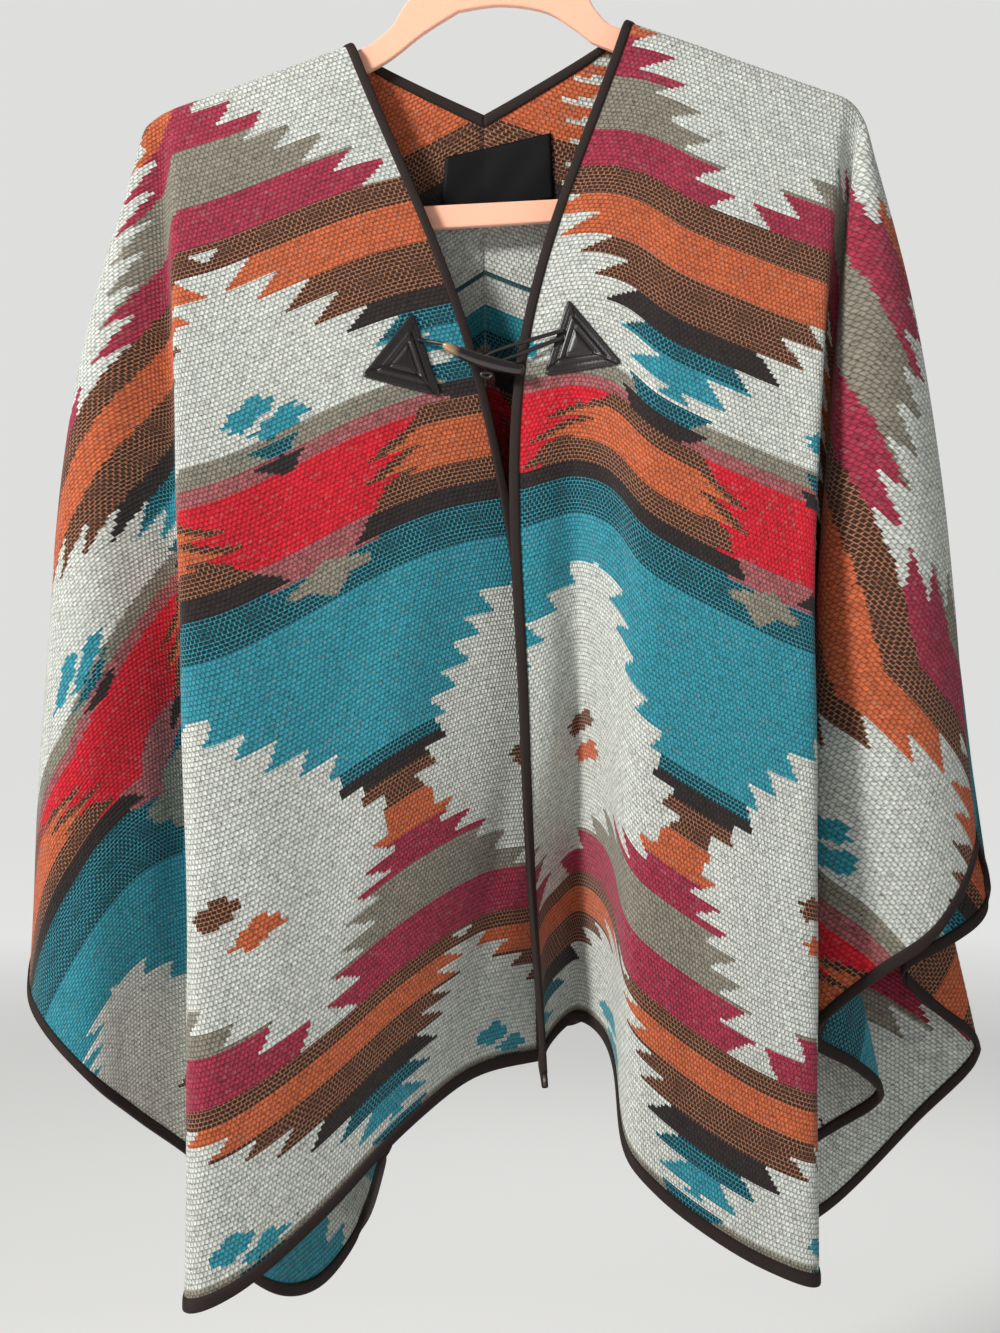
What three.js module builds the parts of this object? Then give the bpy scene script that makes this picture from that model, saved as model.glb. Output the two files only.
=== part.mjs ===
// An open-front blanket poncho on a flat hanger, in millimetres, +Z up.
// The origin is at the inside top of the hook, where a rail or a nail carries the hanger.
// -Y is the front, +Y is the side of the wall, and -X is the viewer's left.
import * as THREE from "three";

// The cloth as it was cut: each half of the front and of the back
const wallThickness = 2;
const seamGap = 0.3;
const panelLength = 735;
const panelWidth = 590;
const cornerRadius = 160;
const neckHalfWidth = 64;
const neckDepth = 90;

// Distances along the cut edge, from the front corner of the hem out to the shoulder line
const hemStraight = panelWidth - cornerRadius;
const cornerArc = (Math.PI / 2) * cornerRadius;
const sideStraight = panelLength - cornerRadius;
const sideEnd = hemStraight + cornerArc + sideStraight;

// How the shoulder fold rolls over the hanger, and how it turns down past the hanger's end
const rollRadius = 9;
const rollLength = (Math.PI / 2) * rollRadius;
const tipRoll = 30;
const tipTaper = 3;

// Folded tape on every edge: width, thickness and the room between it and the cloth
const tapeWidth = 8;
const tapeThickness = 0.9;
const tapeRoom = 0.3;

// Where the shoulders start at the neck and end at the hanger's ends, and the middle of the back neck
const neckLeft = { x: -102, z: -124.4 };
const neckRight = { x: 87, z: -108.8 };
const tipLeft = { x: -224.4, z: -170 };
const tipRight = { x: 231.2, z: -159.8 };
const neckBack = { x: -11, y: 15, z: -168 };
const neckSag = 0.9;

// A fold runs down the cloth from the shoulder line to the cut edge.
// top: where it starts along the shoulder line, from the neck. Past the hanger's end the folds fan out.
//      Below 0 it starts along the back neck, and -1 is the middle of the back.
// edge: where it ends along the cut edge. The back's rows count down again after the shoulder line.
// Its place is given a third and two thirds of the way down (x, y) and at the cut edge (x, y, z).
const foldColumns = ["name", "top", "edge", "x1", "y1", "x2", "y2", "x3", "y3", "z3"];

const leftFront = [
  ["front edge", 0, 0, -15, -16, 24, -4, 28, 34, -818],
  ["inside of tape", 8, 8, -22, -18, 17, -7, 23, 29, -818],
  ["turned back", 22, 90, -58, -26, -18, -22, -20, -4, -824],
  ["soft face", 45, 180, -101, -34, -64, -44, -64, -46, -852],
  ["face", 75, 270, -148, -42, -116, -66, -112, -82, -898],
  ["beside ridge", 100, 335, -184, -56, -164, -92, -162, -116, -936],
  ["ridge", 125, 385, -211, -64, -198, -96, -197, -122, -948],
  ["behind ridge", 131, 450, -213, -42, -198, -50, -188, -56, -928],
  ["valley", 136, 530, -217, -22, -205, -8, -198, 0, -892],
  ["rising", 141, 610, -238, -28, -238, -26, -242, -32, -846],
  ["lit side", 145, 680, -262, -38, -268, -44, -269, -52, -818],
  ["outline low", 148, 770, -281, -34, -297, -40, -302, -46, -782],
  ["outline", 150, 850, -285, -20, -303, -22, -314, -24, -754],
  ["return", 152, 950, -275, -12, -290, -13, -300, -14, -700],
  ["inner", 153.5, 1080, -257, -10, -262, -11, -268, -12, -655],
  ["side line", 155, sideEnd, -247, 0, -251, 0, -253, 0, -622],
];

const leftBack = [
  ["inner", 153.5, 1080, -257, 10, -262, 11, -268, 12, -655],
  ["return", 152, 950, -268, 14, -282, 19, -292, 24, -700],
  ["outline", 150, 850, -272, 24, -288, 34, -300, 44, -760],
  ["outline low", 148, 770, -262, 37, -270, 55, -276, 72, -812],
  ["far flute", 145, 680, -244, 43, -237, 72, -232, 98, -872],
  ["far valley", 141, 600, -229, 29, -213, 22, -202, 14, -930],
  ["corner", 136, 520, -215, 27, -186, 24, -160, 12, -972],
  ["low corner", 131, 440, -199, 36, -162, 52, -128, 56, -982],
  ["corner fold", 120, 370, -178, 44, -138, 76, -99, 98, -950],
  ["valley two", 100, 300, -160, 29, -112, 22, -78, 8, -880],
  ["flute two", 75, 225, -132, 40, -86, 70, -66, 96, -838],
  ["valley three", 50, 155, -102, 24, -66, 20, -52, 8, -812],
  ["flute three", 25, 85, -76, 31, -46, 62, -40, 90, -800],
  ["valley four", 0, 20, -46, 19, -28, 19, -26, 14, -794],
  ["middle", -1, -neckHalfWidth, -10, 28, -9, 50, -8, 74, -792],
];

const rightFront = [
  ["front edge", 0, 0, 13, -24, 14, -34, 30, -26, -826],
  ["inside of tape", 8, 8, 21, -25, 21, -33, 30, -18, -823],
  ["strip", 12, 40, 32, -27, 34, -27, 29, 2, -808],
  ["valley", 20, 85, 52, -28, 52, -10, 50, 22, -789],
  ["rising", 34, 130, 72, -32, 66, -28, 68, -2, -793],
  ["beside ridge", 46, 165, 86, -36, 76, -48, 77, -34, -812],
  ["ridge", 60, 215, 104, -46, 88, -74, 80, -82, -856],
  ["face", 82, 265, 130, -48, 114, -80, 100, -92, -882],
  ["wide face", 108, 325, 160, -52, 146, -84, 132, -94, -907],
  ["outer face", 134, 385, 189, -56, 176, -86, 168, -96, -928],
  ["outer ridge", 153, 440, 208, -57, 204, -84, 203, -94, -940],
  ["under ridge", 158, 490, 204, -38, 196, -48, 190, -50, -922],
  ["gap", 162, 545, 206, -20, 190, -12, 176, -6, -895],
  ["hidden", 165, 610, 214, -12, 204, -2, 222, 8, -866],
  ["inner tip", 168, 680, 222, -12, 216, -6, 258, -8, -838],
  ["coming back", 169.5, 745, 222, -18, 212, -14, 238, -22, -815],
  ["inner fold", 172, 810, 224, -32, 210, -34, 206, -38, -792],
  ["lit face", 174.5, 860, 246, -42, 240, -48, 244, -50, -753],
  ["lit side", 177, 915, 268, -38, 276, -48, 288, -48, -722],
  ["outline", 179, 985, 284, -20, 303, -24, 318, -26, -668],
  ["return", 180.2, 1070, 274, -12, 290, -14, 302, -14, -640],
  ["side line", 181, sideEnd, 257, 0, 264, 0, 270, 0, -604],
];

const rightBack = [
  ["inner", 180.2, 1150, 270, 10, 284, 11, 296, 12, -630],
  ["outline high", 179.3, 1020, 282, 16, 308, 18, 328, 20, -668],
  ["outline", 178.2, 930, 280, 26, 311, 26, 337, 26, -714],
  ["z fold out", 176.5, 885, 268, 22, 290, 19, 308, 17, -737],
  ["z fold in", 174.2, 842, 258, 26, 272, 22, 276, 18, -757],
  ["z fold back", 171.5, 800, 258, 32, 280, 32, 304, 28, -786],
  ["tip", 169, 748, 260, 38, 288, 42, 334, 36, -815],
  ["below tip", 165, 670, 248, 42, 266, 50, 292, 46, -864],
  ["far corner", 161, 580, 234, 38, 232, 48, 228, 48, -928],
  ["low corner", 157, 500, 218, 38, 200, 52, 183, 54, -944],
  ["flute one", 148, 425, 202, 42, 168, 71, 150, 92, -925],
  ["valley one", 130, 355, 180, 29, 142, 22, 130, 8, -885],
  ["flute two", 108, 285, 156, 40, 118, 67, 108, 90, -845],
  ["valley two", 82, 215, 128, 24, 94, 19, 88, 6, -815],
  ["flute three", 54, 145, 98, 34, 70, 60, 66, 86, -800],
  ["valley three", 26, 75, 66, 22, 44, 23, 44, 32, -794],
  ["flute four", 0, 15, 34, 27, 20, 48, 20, 78, -792],
  ["middle", -1, -neckHalfWidth, -10, 28, -9, 50, -8, 74, -792],
];

// Where the columns lie between two folds, and how far down the rows lie between roll and tape
const foldSteps = [0, 0.3, 0.7];
const neckSteps = [0, 0.05, 0.11, 0.18, 0.28, 0.4, 0.55, 0.7, 0.86];
const neckTapeStart = 2;
const neckTapeRow = 1;
const rowShares = [0, 0.12, 0.3, 0.5, 0.68, 0.85, 1];
const rollSteps = 2;
const curveSteps = 72;
const curveBunching = 1.5;
const lengthTries = 34;

const along = (row) => (row.back ? 2 * sideEnd - row.edge : row.edge);

// The point of the cut edge at a distance along it: s from the front edge, v from the shoulder line
function cutPoint(distance) {
  if (distance <= hemStraight) {
    return { s: distance, v: panelLength };
  }
  if (distance <= hemStraight + cornerArc) {
    const turn = (distance - hemStraight) / cornerRadius;
    return {
      s: hemStraight + cornerRadius * Math.sin(turn),
      v: sideStraight + cornerRadius * Math.cos(turn),
    };
  }
  return { s: panelWidth, v: sideEnd - distance };
}

const mix = (a, b, share) => a + (b - a) * share;

// A smooth curve through evenly numbered values
function smooth(values, place) {
  const last = values.length - 1;
  const i = Math.min(Math.floor(place), last - 1);
  const f = place - i;
  const p1 = values[i];
  const p2 = values[i + 1];
  const p0 = i > 0 ? values[i - 1] : 2 * p1 - p2;
  const p3 = i + 2 <= last ? values[i + 2] : 2 * p2 - p1;
  const slopeA = (p2 - p0) / 2;
  const slopeB = (p3 - p1) / 2;
  const cubic = 2 * (p1 - p2) + slopeA + slopeB;
  const square = 3 * (p2 - p1) - 2 * slopeA - slopeB;
  return ((cubic * f + square) * f + slopeA) * f + p1;
}

// One half of the cloth, front and back, as a surface that runs round the side
class ClothSide {
  constructor(side, neck, tip, front, back) {
    this.side = side;
    this.neck = neck;
    const named = (cells, isBack) => {
      const row = Object.fromEntries(foldColumns.map((key, i) => [key, cells[i]]));
      row.back = isBack;
      return row;
    };
    this.rows = [...front.map((cells) => named(cells, false)), ...back.map((cells) => named(cells, true))];
    this.sideRow = front.length - 1;
    this.lastRow = this.rows.length - 1;
    const dx = tip.x - neck.x;
    const dz = tip.z - neck.z;
    this.shoulderLength = Math.hypot(dx, dz);
    this.direction = { x: dx / this.shoulderLength, z: dz / this.shoulderLength };
    this.tip = tip;
    this.tipTurn = Math.PI / 2 - Math.atan2(-this.direction.z, Math.abs(this.direction.x));
    this.tipRadius = tipRoll / this.tipTurn;
    this.cache = new Map();
  }

  // The shoulder line: straight to the hanger's end, then round and down
  shoulderPoint(top) {
    if (top < 0) {
      const share = -top;
      const fallen = Math.min(neckDepth * share, rollLength);
      return {
        x: mix(this.neck.x, neckBack.x, share),
        y: rollRadius * Math.sin(fallen / rollRadius) + (neckBack.y - rollRadius) * share,
        z: mix(this.neck.z, neckBack.z, share ** neckSag),
      };
    }
    const straight = this.shoulderLength;
    if (top <= straight) {
      return { x: this.neck.x + this.direction.x * top, y: 0, z: this.neck.z + this.direction.z * top };
    }
    const turn = (top - straight) / this.tipRadius;
    const start = Math.PI / 2 - this.tipTurn;
    const angle = start + turn;
    const across = this.tipRadius * (Math.sin(angle) - Math.sin(start));
    const down = this.tipRadius * (Math.cos(start) - Math.cos(angle));
    return {
      x: this.tip.x + this.side * across,
      y: 0,
      z: this.tip.z - down,
    };
  }

  // Where a fold at place u starts on the shoulder line, and where it ends on the cut
  fold(u) {
    const i = Math.min(Math.floor(u), this.lastRow - 1);
    const f = u - i;
    const a = this.rows[i];
    const b = this.rows[i + 1];
    const reach = mix(along(a), along(b), f);
    const isBack = u > this.sideRow;
    return {
      top: mix(a.top, b.top, f),
      end: cutPoint(reach > sideEnd ? 2 * sideEnd - reach : reach),
      isBack,
    };
  }

  value(key, u) {
    return smooth(this.rows.map((row) => row[key]), u);
  }

  // One fold line as points at even steps of cut length
  curve(u) {
    const key = u.toFixed(5);
    if (this.cache.has(key)) {
      return this.cache.get(key);
    }
    const fold = this.fold(u);
    const start = this.shoulderPoint(fold.top);
    const inNeck = Math.max(0, -fold.top);
    const topS = fold.top < 0 ? -neckHalfWidth * inNeck : fold.top;
    const topV = neckDepth * inNeck;
    const length = Math.hypot(fold.end.s - topS, fold.end.v - topV);
    const lastTop = this.shoulderLength + tipRoll;
    const taper = Math.min(1, Math.max(0, (lastTop - fold.top) / tipRoll));
    const full = Math.min(1, taper * tipTaper);
    const roll = u === this.sideRow ? 0 : rollRadius * Math.sin((Math.PI / 2) * full) * (fold.isBack ? 1 : -1);
    const xs = [start.x, this.value("x1", u), this.value("x2", u), this.value("x3", u)];
    const startY = fold.top < 0 ? Math.max(start.y, rollRadius) : roll;
    const ys = [startY, this.value("y1", u), this.value("y2", u), this.value("y3", u)];
    const zEnd = this.value("z3", u);
    const flat = [];
    for (let i = 0; i <= curveSteps; i += 1) {
      const share = (i / curveSteps) ** curveBunching;
      const gone = share * length;
      const rolled = gone < rollLength ? Math.sin(gone / rollRadius) : 1;
      const y = mix(start.y, smooth(ys, share * 3), rolled);
      flat.push({ gone, x: smooth(xs, share * 3), y });
    }
    // The share of each step's length that the cloth takes up, found so that the end is at its height
    let low = 0.5;
    let high = 1.5;
    let points = [];
    for (let round = 0; round < lengthTries; round += 1) {
      const take = (low + high) / 2;
      let z = start.z;
      points = flat.map((p, i) => {
        if (i > 0) {
          const before = flat[i - 1];
          const step = (p.gone - before.gone) * take;
          const square = step ** 2 - (p.x - before.x) ** 2 - (p.y - before.y) ** 2;
          z -= Math.sqrt(Math.max(square, 0));
        }
        return new THREE.Vector3(p.x, p.y, z);
      });
      if (z > zEnd) {
        low = take;
      } else {
        high = take;
      }
    }
    const result = { length, points, gone: flat.map((p) => p.gone) };
    this.cache.set(key, result);
    return result;
  }

  point(u, gone) {
    const line = this.curve(u);
    const share = Math.min(Math.max(gone / line.length, 0), 1);
    const place = Math.min(share ** (1 / curveBunching) * curveSteps, curveSteps - 1e-9);
    const i = Math.floor(place);
    const f = (gone - line.gone[i]) / (line.gone[i + 1] - line.gone[i]);
    return line.points[i].clone().lerp(line.points[i + 1], f);
  }

  // The outward side of the cloth at a point, from its neighbours across and down
  normal(u, gone) {
    const du = 0.04;
    const reach = 2.5;
    const length = this.curve(u).length;
    const share = gone / length;
    const before = Math.max(u - du, 0);
    const after = Math.min(u + du, this.lastRow);
    const across = this.point(after, share * this.curve(after).length);
    across.sub(this.point(before, share * this.curve(before).length));
    const down = this.point(u, Math.min(gone + reach, length));
    down.sub(this.point(u, Math.max(gone - reach, 0)));
    const normal = across.cross(down).normalize().multiplyScalar(-this.side);
    const onShoulder = gone === 0 && this.fold(u).top >= 0;
    if (onShoulder || u === this.sideRow) {
      normal.y = 0;
      normal.normalize();
    }
    return normal;
  }
}

const left = new ClothSide(-1, neckLeft, tipLeft, leftFront, leftBack);
const right = new ClothSide(1, neckRight, tipRight, rightFront, rightBack);

// The rows of a panel down one fold line, in cut length from its top
function rowPlaces(length) {
  const places = [];
  for (let i = 0; i < rollSteps; i += 1) {
    places.push((i / rollSteps) * rollLength);
  }
  const lowest = length - tapeWidth;
  rowShares.forEach((share) => places.push(mix(rollLength, lowest, share)));
  places.push(length);
  return places;
}

// The columns of a panel: every fold, and steps between them. Under the front tape there is no step,
// and along the neck there are more.
function columnPlaces(cloth, from, to) {
  const places = [];
  for (let i = from; i < to; i += 1) {
    if (i === 0) {
      places.push(i);
    } else if (i === cloth.lastRow - 1) {
      neckSteps.forEach((step) => places.push(i + step));
    } else {
      foldSteps.forEach((step) => places.push(i + step));
    }
  }
  places.push(to);
  return places;
}

// A panel's grid of middle points and outward directions, kept half a seam gap off its seams
function panelGrid(cloth, isBack) {
  const from = isBack ? cloth.sideRow : 0;
  const to = isBack ? cloth.lastRow : cloth.sideRow;
  const away = (isBack ? 1 : -1) * (seamGap / 2);
  return columnPlaces(cloth, from, to).map((u) => {
    const line = cloth.curve(u);
    return rowPlaces(line.length).map((gone) => {
      const point = cloth.point(u, gone);
      const normal = cloth.normal(u, gone);
      const onSideLine = u === cloth.sideRow;
      const onShoulder = gone === 0 && cloth.fold(u).top >= 0;
      if (onSideLine || onShoulder) {
        point.y = away;
      }
      if (isBack && u === cloth.lastRow) {
        point.x += cloth.side * (seamGap / 2);
        normal.x = 0;
        normal.normalize();
      }
      return { point, normal, u, gone };
    });
  });
}

const offsetPoint = ({ point, normal }, distance) => point.clone().addScaledVector(normal, distance);

function geometryOf(points, triangles) {
  const geometry = new THREE.BufferGeometry();
  const flat = new Float32Array(points.length * 3);
  points.forEach((p, i) => p.toArray(flat, i * 3));
  geometry.setAttribute("position", new THREE.BufferAttribute(flat, 3));
  geometry.setIndex(triangles);
  return geometry;
}

// Turns a closed mesh's faces outward if its volume comes out negative
function facingOut(geometry) {
  const index = Array.from(geometry.index.array);
  const position = geometry.attributes.position;
  const a = new THREE.Vector3();
  const b = new THREE.Vector3();
  const c = new THREE.Vector3();
  let volume = 0;
  for (let i = 0; i < index.length; i += 3) {
    a.fromBufferAttribute(position, index[i]);
    b.fromBufferAttribute(position, index[i + 1]);
    c.fromBufferAttribute(position, index[i + 2]);
    volume += a.dot(b.cross(c));
  }
  if (volume < 0) {
    for (let i = 0; i < index.length; i += 3) {
      [index[i + 1], index[i + 2]] = [index[i + 2], index[i + 1]];
    }
    geometry.setIndex(index);
  }
  return geometry;
}

// A closed loft: rings of equal size joined one to the next, with a cap at each end.
// isForward says which way the diagonal of each ring step runs.
function loft(rings, isForward = () => false) {
  const size = rings[0].length;
  const points = rings.flat();
  const triangles = [];
  const at = (ring, i) => ring * size + (i % size);
  for (let ring = 0; ring + 1 < rings.length; ring += 1) {
    for (let i = 0; i < size; i += 1) {
      if (isForward(i)) {
        triangles.push(at(ring, i), at(ring, i + 1), at(ring + 1, i + 1));
        triangles.push(at(ring, i), at(ring + 1, i + 1), at(ring + 1, i));
      } else {
        triangles.push(at(ring, i), at(ring, i + 1), at(ring + 1, i));
        triangles.push(at(ring, i + 1), at(ring + 1, i + 1), at(ring + 1, i));
      }
    }
  }
  const lastRing = rings.length - 1;
  const caps = THREE.ShapeUtils.triangulateShape(capOutline(rings[0]), []);
  const endCaps = THREE.ShapeUtils.triangulateShape(capOutline(rings[lastRing]), []);
  caps.forEach(([a, b, c]) => triangles.push(at(0, a), at(0, c), at(0, b)));
  endCaps.forEach(([a, b, c]) => triangles.push(at(lastRing, a), at(lastRing, b), at(lastRing, c)));
  return facingOut(geometryOf(points, triangles));
}

// A ring seen flat, in its own plane, wound the way that its faces need
function capOutline(ring) {
  const centre = ring.reduce((sum, p) => sum.add(p), new THREE.Vector3()).divideScalar(ring.length);
  const normal = new THREE.Vector3();
  ring.forEach((p, i) => {
    const q = ring[(i + 1) % ring.length];
    normal.add(p.clone().sub(centre).cross(q.clone().sub(centre)));
  });
  normal.normalize();
  const across = ring[0].clone().sub(centre);
  across.addScaledVector(normal, -across.dot(normal)).normalize();
  const up = normal.clone().cross(across);
  return ring.map((p) => {
    const arm = p.clone().sub(centre);
    return new THREE.Vector2(arm.dot(across), arm.dot(up));
  });
}

// A cloth wall: the grid's outer and inner points, closed round its four edges
function clothWall(grid) {
  const columns = grid.length;
  const rows = grid[0].length;
  const half = wallThickness / 2;
  const points = [];
  const triangles = [];
  [half, -half].forEach((distance) => {
    grid.forEach((column) => column.forEach((cell) => points.push(offsetPoint(cell, distance))));
  });
  const at = (layer, i, j) => (layer * columns + i) * rows + j;
  const quad = (a, b, c, d) => triangles.push(a, b, c, a, c, d);
  for (let i = 0; i + 1 < columns; i += 1) {
    for (let j = 0; j + 1 < rows; j += 1) {
      quad(at(0, i, j), at(0, i, j + 1), at(0, i + 1, j + 1), at(0, i + 1, j));
      // The inner face uses the same diagonal, wound the other way
      triangles.push(at(1, i, j), at(1, i + 1, j + 1), at(1, i, j + 1));
      triangles.push(at(1, i, j), at(1, i + 1, j), at(1, i + 1, j + 1));
    }
  }
  for (let j = 0; j + 1 < rows; j += 1) {
    quad(at(0, 0, j), at(1, 0, j), at(1, 0, j + 1), at(0, 0, j + 1));
    const e = columns - 1;
    quad(at(0, e, j), at(0, e, j + 1), at(1, e, j + 1), at(1, e, j));
  }
  for (let i = 0; i + 1 < columns; i += 1) {
    quad(at(0, i, 0), at(0, i + 1, 0), at(1, i + 1, 0), at(1, i, 0));
    const e = rows - 1;
    quad(at(0, i, e), at(1, i, e), at(1, i + 1, e), at(0, i + 1, e));
  }
  return facingOut(geometryOf(points, triangles));
}

// Tape folded over an edge. Each station is a list of cells, from the edge to one tape width inside.
// Its faces are split along the same diagonals as the cloth's, so that the two stay apart.
function foldedTape(stations, runsAlongHem) {
  const near = wallThickness / 2 + tapeRoom;
  const far = near + tapeThickness;
  const rings = stations.map((cells) => {
    const edge = cells[0];
    const inward = [...cells].reverse();
    const outward = edge.point.clone().sub(cells[1].point).normalize();
    const past = (distance, side) => offsetPoint(edge, side).addScaledVector(outward, distance);
    const inner = cells.slice(1);
    const outer = inward.slice(0, -1);
    return [
      ...outer.map((cell) => offsetPoint(cell, near)),
      past(tapeRoom, near),
      past(tapeRoom, -near),
      ...inner.map((cell) => offsetPoint(cell, -near)),
      ...outer.map((cell) => offsetPoint(cell, -far)),
      past(tapeRoom + tapeThickness, -far),
      past(tapeRoom + tapeThickness, far),
      ...inner.map((cell) => offsetPoint(cell, far)),
    ];
  });
  const legSize = stations[0].length;
  const runsToEdge = (i) => Math.floor(i / legSize) % 2 === 0;
  const isOverEdge = (i) => i === legSize - 1;
  return loft(rings, (i) => isOverEdge(i) || runsToEdge(i) === runsAlongHem);
}

const grids = {
  front_left: panelGrid(left, false),
  front_right: panelGrid(right, false),
  back_left: panelGrid(left, true),
  back_right: panelGrid(right, true),
};

const colours = {
  cloth: 0xbfc3bd,
  tape: 0x372620,
  leather: 0x231c1c,
  label: 0x16161a,
  horn: 0x1a1412,
  hanger: 0xf0b090,
  steel: 0xb8b8ba,
};

function material(colour, roughness, metalness = 0) {
  return new THREE.MeshStandardMaterial({ color: colour, roughness, metalness });
}

const model = new THREE.Group();

function addPiece(name, geometry, surface) {
  const mesh = new THREE.Mesh(geometry, surface);
  mesh.name = name;
  model.add(mesh);
  return mesh;
}

Object.entries(grids).forEach(([name, grid]) => addPiece(name, clothWall(grid), material(colours.cloth, 0.9)));

// Hem tape: along the cut edge of each panel, from its front or middle edge to the side line
Object.entries(grids).forEach(([name, grid]) => {
  const stations = grid.map((column) => [column[column.length - 1], column[column.length - 2]]);
  addPiece(`binding_hem_${name}`, foldedTape(stations, true), material(colours.tape, 0.7));
});

// Front tape: down the first column, from the shoulder to just above the hem tape
["left", "right"].forEach((side) => {
  const [edge, inside] = grids[`front_${side}`];
  const lastRow = edge.length - 2;
  const stations = edge.slice(0, lastRow + 1).map((cell, j) => [cell, inside[j]]);
  stations[lastRow] = stations[lastRow].map((cell, i) => {
    const above = stations[lastRow - 1][i].point;
    const lift = above.clone().sub(cell.point).normalize();
    return { point: cell.point.clone().addScaledVector(lift, 2 * tapeRoom), normal: cell.normal };
  });
  addPiece(`binding_front_${side}`, foldedTape(stations, false), material(colours.tape, 0.7));
});

// Neck tape: along the top of each back panel, from the shoulder to the middle of the back
["left", "right"].forEach((side) => {
  const grid = grids[`back_${side}`];
  const columns = grid.slice(neckTapeStart - neckSteps.length - 1);
  const stations = columns.map((column) => column.slice(0, neckTapeRow + 1));
  addPiece(`binding_neck_${side}`, foldedTape(stations, false), material(colours.tape, 0.7));
});

// The height of a panel's face at a place seen from the front, from the grid's nearest cells
const nearCells = 12;

function faceY(grid, x, z) {
  const close = grid
    .flat()
    .map((cell) => ({ cell, distance: Math.hypot(cell.point.x - x, cell.point.z - z) }))
    .sort((a, b) => a.distance - b.distance)
    .slice(0, nearCells);
  let weightSum = 0;
  let sum = 0;
  close.forEach(({ cell, distance }) => {
    const weight = 1 / (distance + 0.5) ** 2;
    const slopeX = -cell.normal.x / cell.normal.y;
    const slopeZ = -cell.normal.z / cell.normal.y;
    const y = cell.point.y + slopeX * (x - cell.point.x) + slopeZ * (z - cell.point.z);
    sum += weight * y;
    weightSum += weight;
  });
  return sum / weightSum;
}

// Hanger
const hangerThickness = 7;
const hangerRound = 1.5;
const hangerRoom = 2.7;
const hangerNeckRoom = 4.6;
const armDepth = 22;

function armPoint(cloth, top, below) {
  const { direction, neck, side } = cloth;
  const x = neck.x + direction.x * top + side * direction.z * below;
  const z = neck.z + direction.z * top - side * direction.x * below;
  return new THREE.Vector2(x, z);
}

const at = (x, z) => new THREE.Vector2(x, z);

const hangerOutline = new THREE.Shape();
hangerOutline.moveTo(6, -70);
hangerOutline.lineTo(-6, -70);
hangerOutline.splineThru([at(-34, -74), at(-61, -92), at(-74, -111), at(-88, -123)]);
[
  [0, hangerNeckRoom],
  [12, hangerNeckRoom],
  [17, hangerRoom],
  [112, hangerRoom],
  [119, hangerRoom],
].forEach(([top, below]) => {
  const p = armPoint(left, top, below);
  hangerOutline.lineTo(p.x, p.y);
});
hangerOutline.splineThru([armPoint(left, 123, 8), at(-221, -196), at(-214, -226), at(-200, -247), at(-178, -254)]);
hangerOutline.lineTo(-53, -249);
hangerOutline.lineTo(39.4, -243.4);
hangerOutline.lineTo(186, -235);
hangerOutline.splineThru([at(208, -228), at(221, -210), at(227, -186), armPoint(right, 146, 8)]);
[
  [141, hangerRoom],
  [134, hangerRoom],
  [17, hangerRoom],
  [12, hangerNeckRoom],
  [0, hangerNeckRoom],
].forEach(([top, below]) => {
  const p = armPoint(right, top, below);
  hangerOutline.lineTo(p.x, p.y);
});
hangerOutline.splineThru([at(74, -109), at(65, -99.5), at(56, -87), at(32, -74)]);

const hangerHole = new THREE.Path();
hangerHole.moveTo(-27.9, -100.6);
hangerHole.splineThru([at(0.7, -96.6), at(29.9, -100.6), at(48.3, -110.8), at(62.6, -121.7)]);
[14, 118].forEach((top) => {
  const p = armPoint(right, top, armDepth);
  hangerHole.lineTo(p.x, p.y);
});
hangerHole.splineThru([at(204, -192), at(200, -210), at(182, -219)]);
hangerHole.lineTo(43.5, -227.8);
hangerHole.lineTo(-59.2, -233.2);
hangerHole.lineTo(-176, -238);
hangerHole.splineThru([at(-195, -228), at(-200, -210), armPoint(left, 98, armDepth)]);
const innerArm = armPoint(left, 14, armDepth);
hangerHole.lineTo(innerArm.x, innerArm.y);
hangerHole.splineThru([at(-77.5, -135.3), at(-51.7, -115.6)]);
hangerOutline.holes.push(hangerHole);

const hangerGeometry = new THREE.ExtrudeGeometry(hangerOutline, {
  depth: hangerThickness - 2 * hangerRound,
  curveSegments: 2,
  bevelEnabled: true,
  bevelSegments: 1,
  bevelSize: hangerRound,
  bevelThickness: hangerRound,
  bevelOffset: -hangerRound,
});
hangerGeometry.translate(0, 0, -(hangerThickness / 2 - hangerRound));
hangerGeometry.rotateX(Math.PI / 2);
addPiece("hanger", hangerGeometry, material(colours.hanger, 0.9));

// Hook: a wire from the hanger's top, bent round so that its inside top is at the origin
const wireRadius = 1.6;
const hookRadius = 21.6;
const hookCentre = wireRadius - hookRadius;
const stemBottom = -69.7;

function roundSection(radius, sides) {
  const points = [];
  for (let i = 0; i < sides; i += 1) {
    const angle = (i / sides) * 2 * Math.PI;
    points.push(new THREE.Vector2(radius * Math.cos(angle), radius * Math.sin(angle)));
  }
  return new THREE.Shape(points);
}

function tube(route, radius, sides, steps) {
  const path = new THREE.CatmullRomCurve3(route, false, "centripetal");
  return new THREE.ExtrudeGeometry(roundSection(radius, sides), { steps, extrudePath: path, bevelEnabled: false });
}

const hookSteps = 32;
const hookSides = 8;
const hookStart = -48;
const hookEnd = 216;
const hookStep = 22;
const hookRoute = [stemBottom, -60, -51].map((z) => new THREE.Vector3(0, 0, z));
for (let degrees = hookStart; degrees <= hookEnd; degrees += hookStep) {
  const angle = THREE.MathUtils.degToRad(degrees);
  hookRoute.push(
    new THREE.Vector3(hookRadius * Math.cos(angle), 0, hookCentre + hookRadius * Math.sin(angle)),
  );
}
addPiece("hook", tube(hookRoute, wireRadius, hookSides, hookSteps), material(colours.steel, 0.3, 1));

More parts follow.
